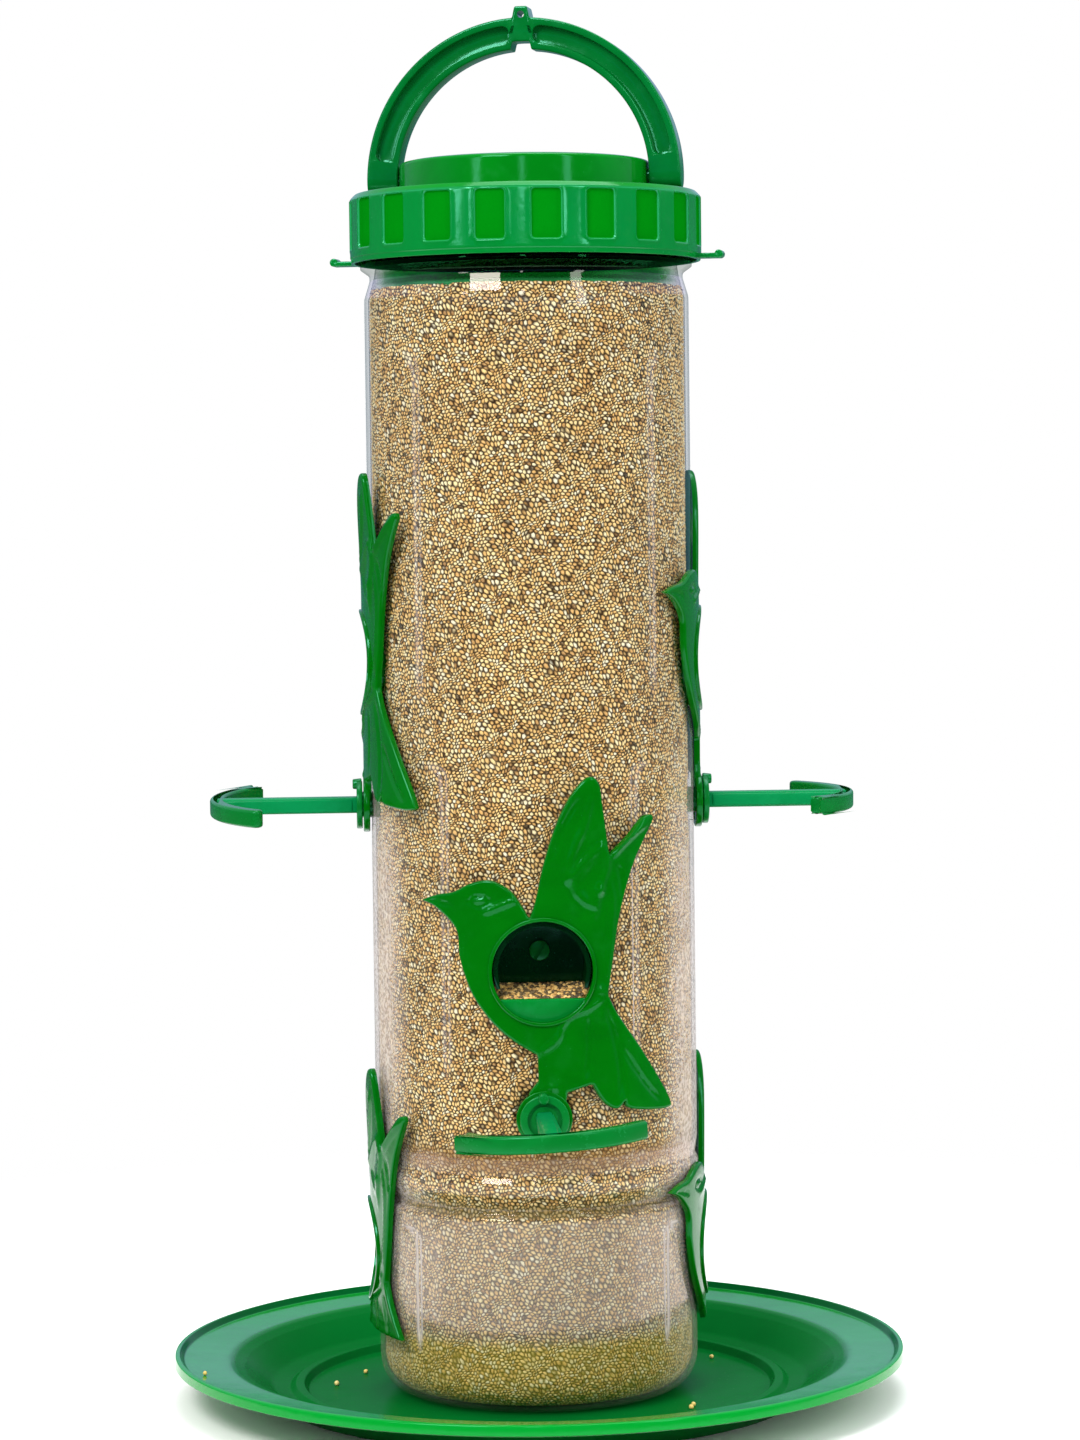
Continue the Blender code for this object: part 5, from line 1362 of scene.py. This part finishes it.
# ================================================================= lid
def build_lid():
    z1, t = LID_SHOULDER_Z, LID_WALL
    outer = [(0.0, LID_TOP_Z), (12.0, LID_TOP_Z, 0), (DISC_R - 2.4, LID_TOP_Z, 1.0),
             (DISC_R, LID_TOP_Z - 0.5, 1.2), (DISC_R, z1 + 0.1, 0.9), (LID_R - 1.6, z1, 0.8),
             (LID_R, z1 - 1.6, 1.4), (LID_R, LID_Z0 + 1.7, 0.3), (LID_R - 0.25, LID_Z0 + 1.4, 0.2),
             (LID_R - 0.25, LID_Z0, 0.25)]
    inner = [(LID_R - LID_SKIRT, LID_Z0, 0.25), (LID_R - LID_SKIRT, z1 - t, 0.6), (DISC_R - 1.5, z1 - t, 0.5),
             (DISC_R - 1.5, LID_TOP_Z - 1.6, 0.5), (0.0, LID_TOP_Z - 1.6)]
    prof = fillet(outer + inner, 0.3, 4)
    # rows: even down the skirt, closer at the panels' ends
    prof = densify(prof, 0.9, LID_Z0 + 1.6, GRIP_Z1 + 1.8)
    extra = []
    for zc in (GRIP_Z0, GRIP_Z1):
        extra += [zc - 0.6, zc - 0.3, zc, zc + 0.3, zc + 0.6]
    full = []
    for a, b in zip(prof, prof[1:]):
        full.append(a)
        if abs(a[0] - LID_R) < 0.05 and abs(b[0] - LID_R) < 0.05 and a[1] > b[1]:
            for zc in sorted(extra, reverse=True):
                if b[1] + 0.08 < zc < a[1] - 0.08:
                    full.append((LID_R, zc))
    full.append(prof[-1])
    step = 2 * math.pi / GRIPS
    offs = [0, 1.1, 2.2, 3.2, 3.8, 4.15, 4.35, 4.55, 4.75, 4.95, 5.2, 5.8, 6.8, 7.8]
    offs = sorted(set([-o for o in offs] + offs))
    thetas = []
    for i in range(GRIPS):
        for o in offs:
            thetas.append((i * step + math.pi / 2 + o / LID_R) % (2 * math.pi))

    def move(r, z, th):
        s = ((th - math.pi / 2 + step / 2) % step - step / 2) * LID_R
        zm, hz, hw, rad = (GRIP_Z0 + GRIP_Z1) / 2, (GRIP_Z1 - GRIP_Z0) / 2, GRIP_W / 2, 1.3
        qx, qz = np.abs(s) - hw + rad, np.abs(z - zm) - hz + rad
        sd = np.hypot(np.maximum(qx, 0), np.maximum(qz, 0)) + np.minimum(np.maximum(qx, qz), 0) - rad
        inset = smoothstep(-sd, -0.05, 0.5)
        lip = 0.16 * np.exp(-((sd - 0.35) / 0.3) ** 2)
        on = np.abs(r - LID_R) < 0.06
        bulge = 0.18 * smoothstep(-sd, 0.6, 4.5)
        return np.where(on, r - GRIP_D * inset + lip + bulge, r)

    lid = revolve("lid_shell", full, thetas, CAP_GREEN, move, closed=False)
    tools = []
    for side in (-1, 1):
        tools.append(('DIFFERENCE', cyl("pin_hole", PIN_HOLE_R, (side * 33.0, 0, PIVOT_Z),
                                        (side * 42.0, 0, PIVOT_Z), 40)))
    lid = combine(lid, tools)
    parts = [lid]
    for side in (-1, 1):
        ear = block("ear", (side * (LID_R - 1.0) if side > 0 else -EAR_R, -EAR_W / 2, LID_Z0 + 0.1),
                    (EAR_R if side > 0 else side * (LID_R - 1.0), EAR_W / 2, LID_Z0 + 0.1 + EAR_T), CAP_GREEN)
        parts.append(bevelled(ear, 0.4, 3))
        bead = cyl("bead", 1.25, (side * EAR_R, -EAR_W / 2 + 0.2, LID_Z0 + 1.3),
                   (side * EAR_R, EAR_W / 2 - 0.2, LID_Z0 + 1.3), 24, CAP_GREEN)
        parts.append(bevelled(bead, 0.4, 3, 50))
    lid = join("lid_shell", parts)
    lid.data.transform(Matrix.Rotation(math.radians(LID_CLOCK), 4, 'Z'))
    smooth_by_angle(lid, 42.0)
    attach(lid, "lid")
    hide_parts("lid")


# ================================================================= handle
def build_handle():
    """Arch with a channel in both faces, swept section by section from foot to foot."""
    ri0, ro0, w = HANDLE_IN_R, HANDLE_OUT_R, HANDLE_W / 2
    depth = (HANDLE_W - HANDLE_WEB) / 2
    mid_r = (ri0 + ro0) / 2

    def section(ri, ro, rim, k, yk):
        """Points (r, y) round one section.  k: channel depth share; yk: width share."""
        c = 0.6
        pts = []
        for q in range(5):
            a = math.radians(90.0 * q / 4)
            pts.append((ro - c + c * math.cos(a), w - c + c * math.sin(a)))
        d = depth * k
        pts += [(ro - rim + 0.28, w), (ro - rim + 0.08, w - 0.08 * k), (ro - rim, w - 0.28 * k),
                (ro - rim - 0.12, w - d + 0.35 * k), (ro - rim - 0.22, w - d + 0.1 * k),
                (ro - rim - 0.5, w - d)]
        pts += [(ri + rim + 0.5, w - d), (ri + rim + 0.22, w - d + 0.1 * k),
                (ri + rim + 0.12, w - d + 0.35 * k), (ri + rim, w - 0.28 * k),
                (ri + rim - 0.08, w - 0.08 * k), (ri + rim - 0.28, w)]
        for q in range(5):
            a = math.radians(90.0 + 90.0 * q / 4)
            pts.append((ri + c + c * math.cos(a), w - c + c * math.sin(a)))
        pts += [(r, -y) for r, y in reversed(pts)]
        return [(r, y * yk) for r, y in pts]

    gap = (ro0 - ri0) / 2 - HANDLE_RIM - 0.55       # largest rim growth at a channel's round end
    a0, a1 = 8.0, 85.2                               # channel ends, degrees up one side
    stations = []
    for d in (3.98, 3.8, 3.4, 2.8, 2.0, 1.0):
        stations.append((-d, None))
    degs = set(np.linspace(0, 90, 61).tolist())
    for a in (a0, a1):
        sgn = 1 if a == a0 else -1
        for s in (0.0, 0.04, 0.15, 0.4, 0.8, 1.3, 1.8, 2.4, 2.8):
            degs.add(a + sgn * math.degrees(s / mid_r))
    for s in (0.0, 0.5, 1.0, 1.4, 1.7, 2.0, 2.3, 2.6, 2.9, 3.2, 3.6, 4.0, 4.5):
        degs.add(90 - math.degrees(s / mid_r))
    degs = sorted(degs)
    half = [('leg', -d) for d in (3.98, 3.8, 3.4, 2.8, 2.0, 1.0)] + [('deg', a) for a in degs]
    other = [('deg', 180 - a) for a in reversed(degs[:-1])] + [('leg2', -d) for d in (1.0, 2.0, 2.8, 3.4, 3.8, 3.98)]
    rows = []
    for kind, val in half + other:
        if kind in ('leg', 'leg2'):
            sec = section(ri0, ro0, HANDLE_RIM, 0.0, math.sqrt(max(0.0, 1 - (val / w) ** 2)))
            sx = 1 if kind == 'leg' else -1
            rows.append([(sx * r, y, val) for r, y in sec])
            continue
        a = val if val <= 90 else 180 - val
        s_end = min((a - a0), (a1 - a)) * math.radians(1) * mid_r
        if s_end <= 0:
            k, rim = 0.0, HANDLE_RIM + gap
        else:
            k = 1.0
            L = gap + 0.3
            q = max(0.0, 1 - s_end / L)
            rim = HANDLE_RIM + gap * (1 - math.sqrt(max(0.0, 1 - q * q)))
        s_top = abs(90 - val) * math.radians(1) * 50.0
        hump = 1 - float(smoothstep(np.array(s_top), 1.7, 2.9))
        notch = 1 - float(smoothstep(np.array(s_top), 3.0, 4.3))
        sec = section(ri0 + 2.4 * notch, ro0 + 3.4 * hump, rim, k, 1.0)
        th = math.radians(val)
        rows.append([(r * math.cos(th), y, r * math.sin(th)) for r, y in sec])
    n = len(rows[0])
    verts = np.array(rows).reshape(-1, 3)
    idx = np.arange(len(rows) * n).reshape(len(rows), n)
    nx = np.roll(idx, -1, 1)
    quads = np.concatenate([np.stack([idx[i], idx[i + 1], nx[i + 1], nx[i]], -1) for i in range(len(rows) - 1)])
    me = np_mesh("handle_arch", verts, quads)
    bm = bmesh.new()
    bm.from_mesh(me)
    bm.verts.ensure_lookup_table()
    for base in (0, (len(rows) - 1) * n):
        bm.faces.new([bm.verts[base + i] for i in range(n)])
    bmesh.ops.recalc_face_normals(bm, faces=bm.faces)
    bm.to_mesh(me)
    bm.free()
    arch = piece("handle_arch", me, LID_GREEN)
    arch = combine(arch, [('DIFFERENCE', cyl("hang", HANG_HOLE_R, (0, -8, HANDLE_OUT_R + 0.9),
                                             (0, 8, HANDLE_OUT_R + 0.9), 28))])
    parts = [arch]
    for side in (-1, 1):
        pin = cyl("pin", PIN_R, (side * 35.8, 0, 0), (side * (HANDLE_IN_R + 2.0), 0, 0), 32, LID_GREEN)
        parts.append(bevelled(pin, 0.35, 3))
    arch = join("handle_arch", parts)
    arch.data.transform(Matrix.Translation((0, 0, PIVOT_Z * MM)) @
                        Matrix.Rotation(math.radians(LID_CLOCK), 4, 'Z'))
    smooth_by_angle(arch, 40.0)
    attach(arch, "handle")
    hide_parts("handle")


# ================================================================= tray
def tray_profile():
    rz = TRAY_RIM_Z
    return [(2.9, BOSS_TOP_Z, 0.1), (14.0, BOSS_TOP_Z, 2.0), (17.0, BOSS_TOP_Z - 0.6, 2.0),
            (21.5, FLOOR_T, 3.0), (71.8, FLOOR_T, 0.8), (73.2, FLOOR_T + 2.4, 0.6),
            (75.8, FLOOR_T + 2.4, 0.6), (77.6, FLOOR_T + 1.0, 1.0), (83.0, FLOOR_T + 2.4, 6.0),
            (91.6, FLOOR_T + 8.4, 3.0), (BOWL_R, FLOOR_T + 10.2, 3.0),
            (TRAY_R - 3.0, rz - 1.9, 1.2), (TRAY_R - 1.7, rz, 0.6), (TRAY_R - 0.3, rz - 0.3, 0.6),
            (TRAY_R, rz - 3.2, 0.4), (TRAY_R - 1.6, rz - 3.8, 0.6), (BOWL_R + 1.0, FLOOR_T + 8.3, 3.0),
            (92.6, FLOOR_T + 6.4, 3.0), (81.6, 0.0, 2.0), (23.5, 0.0, 2.0),
            (18.5, BOSS_TOP_Z - 1.8, 2.0), (2.9, BOSS_TOP_Z - 1.8, 0.1)]


def build_tray():
    prof = fillet(tray_profile(), 0.5, 6, closed=True)
    tray = revolve("catch_tray", prof, ring_angles(288), TRAY_GREEN)
    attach(tray, "feeder")
    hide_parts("tray")
    # a few grains spilled on the tray
    rs = np.random.RandomState(5)
    top = [p for p in tray_profile()[:14]]
    rr, zz = [p[0] for p in top], [p[1] for p in top]
    pts = []
    spots = [(-103.0, -27.0), (45.0, -36.0), (44.0, -39.5), (52.0, 61.0)]
    for _ in range(7):
        a = rs.rand() * 2 * math.pi
        r = 56.0 + rs.rand() * 12.0
        spots.append((r * math.cos(a), r * math.sin(a)))
    for x, y in spots:
        r = math.hypot(x, y)
        pts.append((x, y, float(np.interp(r, rr, zz)) + 0.66))
    me = scatter_grains("spilled_grains", pts, 0.72, 9)
    obj = piece("spilled_grains", me, MILLET)
    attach(obj, "feeder")


# ================================================================= assemble
inner_line = build_jar()
build_seed_column(inner_line)
build_mouths()
build_ports()
build_hoods()
build_perches()
build_lid()
build_handle()
build_tray()

for node, mat in (("lid_seal", FOAM), ("tray_washer", RUBBER), ("tray_nut", STEEL), ("tray_bolt", STEEL)):
    me = NODES[node].data
    if not len(me.materials):
        me.materials.append(mat)
    for i in range(len(NODES[node].material_slots)):
        NODES[node].material_slots[i].material = mat


# ================================================================= camera
def build_camera():
    D, H, f = 1.250, 0.277, 4050.0
    pitch, roll, yaw, cx = math.radians(3.1), 0.7, math.radians(-2.8), 531.5
    cam = bpy.data.cameras.new("camera")
    obj = link(bpy.data.objects.new("camera", cam))
    cam.sensor_width = 36.0
    cam.lens = f / 1440.0 * 36.0
    cam.clip_start, cam.clip_end = 0.05, 20.0
    fwd = Vector((-math.sin(yaw), math.cos(yaw), 0))
    loc = Vector((0, 0, H)) - fwd * D
    look = (fwd * math.cos(pitch) + Vector((0, 0, -1)) * math.sin(pitch)).normalized()
    right = fwd.cross(Vector((0, 0, 1))).normalized()
    loc = loc + right * ((540.0 - cx) / f * D)
    up = right.cross(look).normalized()
    basis = Matrix((right, up, -look)).transposed()
    obj.matrix_world = Matrix.Translation(loc) @ basis.to_4x4() @ \
        Matrix.Rotation(math.radians(-roll), 4, 'Z')
    bpy.context.scene.camera = obj


build_camera()


# ================================================================= floor, light, world
def build_floor():
    bm = bmesh.new()
    bmesh.ops.create_circle(bm, cap_ends=True, cap_tris=False, segments=96, radius=1.0)
    for v in bm.verts:
        v.co.z = -0.0004
    me = bpy.data.meshes.new("floor")
    bm.to_mesh(me)
    bm.free()
    mat, t = fresh("studio_floor")
    co = N(t, 'ShaderNodeTexCoord').outputs['Object']
    dist = N(t, 'ShaderNodeVectorMath', {0: co}, operation='LENGTH').outputs['Value']
    keep = rng(t, dist, 0.36, 0.47, 1.0, 0.0)
    tone = N(t, 'ShaderNodeTexNoise', {'Vector': co, 'Scale': 6.0, 'Detail': 2.0}).outputs['Fac']
    col = blend_rgb(t, rng(t, tone, 0.3, 0.7, 0.0, 1.0), (0.93, 0.93, 0.93), (0.95, 0.95, 0.95))
    diff = N(t, 'ShaderNodeBsdfDiffuse', {'Color': col})
    clear = N(t, 'ShaderNodeBsdfTransparent')
    mix = N(t, 'ShaderNodeMixShader', {0: keep, 1: clear.outputs[0], 2: diff.outputs[0]})
    finish_material(t, mix.outputs[0])
    me.materials.append(mat)
    floor = link(bpy.data.objects.new("floor", me))


build_floor()


def area(name, loc, aim, size, power, colour=(1, 1, 1), size_y=None, spread=180.0):
    lamp = bpy.data.lights.new(name, 'AREA')
    lamp.energy = power
    lamp.color = colour
    lamp.shape = 'RECTANGLE'
    lamp.size = size
    lamp.size_y = size_y or size
    lamp.spread = math.radians(spread)
    obj = link(bpy.data.objects.new(name, lamp))
    obj.location = loc
    obj.rotation_euler = (Vector(aim) - Vector(loc)).to_track_quat('-Z', 'Y').to_euler()
    obj.visible_camera = False
    return obj


area("key", (-0.75, -1.15, 1.30), (0, 0, 0.2), 0.62, 21.5, (1.0, 0.985, 0.95))
area("top", (0.1, 0.15, 1.5), (0, 0, 0.2), 0.8, 11.0, (0.95, 0.98, 1.0))
area("front_strip", (-0.13, -1.50, 0.78), (0, 0, 0.36), 0.085, 1.3, (0.95, 1.0, 1.0), size_y=0.62)
area("right_strip", (0.83, -1.12, 0.90), (0, 0, 0.30), 0.19, 4.2, (0.90, 1.0, 0.97), size_y=1.05)
area("left_window", (-1.02, -0.95, 0.62), (0, 0, 0.2), 0.14, 1.2, (0.95, 0.98, 1.0), size_y=0.34)

fill = area("fill_right", (1.15, -0.25, 0.50), (0, 0, 0.2), 0.8, 5.0, (1.0, 0.96, 0.98))
fill.visible_glossy = False


def build_world():
    world = bpy.data.worlds.new("studio")
    bpy.context.scene.world = world
    world.use_nodes = True
    t = world.node_tree
    t.nodes.clear()
    path = N(t, 'ShaderNodeLightPath')
    d = N(t, 'ShaderNodeTexCoord').outputs['Generated']
    sep = N(t, 'ShaderNodeSeparateXYZ', {'Vector': d})
    x, y, z = sep.outputs
    toward = rng(t, calc(t, 'MULTIPLY', y, -1.0), 0.05, 0.75, 0.0, 1.0)
    below = rng(t, z, -0.16, -0.02, 1.0, 0.0)
    high = rng(t, z, 0.25, 0.95, 0.0, 1.0)
    back = rng(t, z, 0.09, 0.17, 0.0, 1.0)
    mirror = blend_rgb(t, back, (0.07, 0.20, 0.23), (0.42, 0.50, 0.84))
    mirror = blend_rgb(t, high, mirror, (0.40, 0.55, 0.70))
    mirror = blend_rgb(t, below, mirror, (0.16, 0.27, 0.27))
    row = calc(t, 'MULTIPLY', rng(t, z, 0.045, 0.062, 0.0, 1.0), rng(t, z, 0.071, 0.083, 1.0, 0.0))
    front = blend_rgb(t, row, (0.008, 0.03, 0.03), (0.12, 0.55, 0.95))
    mirror = blend_rgb(t, toward, mirror, front)
    soft = blend_rgb(t, high, (0.76, 0.76, 0.76), (1.14, 1.14, 1.14))
    col = blend_rgb(t, path.outputs['Is Glossy Ray'], soft, mirror)
    col = blend_rgb(t, path.outputs['Is Camera Ray'], col, (1.0, 1.0, 1.0))
    bg = N(t, 'ShaderNodeBackground', {'Color': col, 'Strength': 1.0})
    out = t.nodes.new('ShaderNodeOutputWorld')
    t.links.new(bg.outputs[0], out.inputs['Surface'])


build_world()
scene = bpy.context.scene
scene.view_settings.view_transform = 'Standard'
scene.view_settings.look = 'None'

bpy.context.view_layer.update()
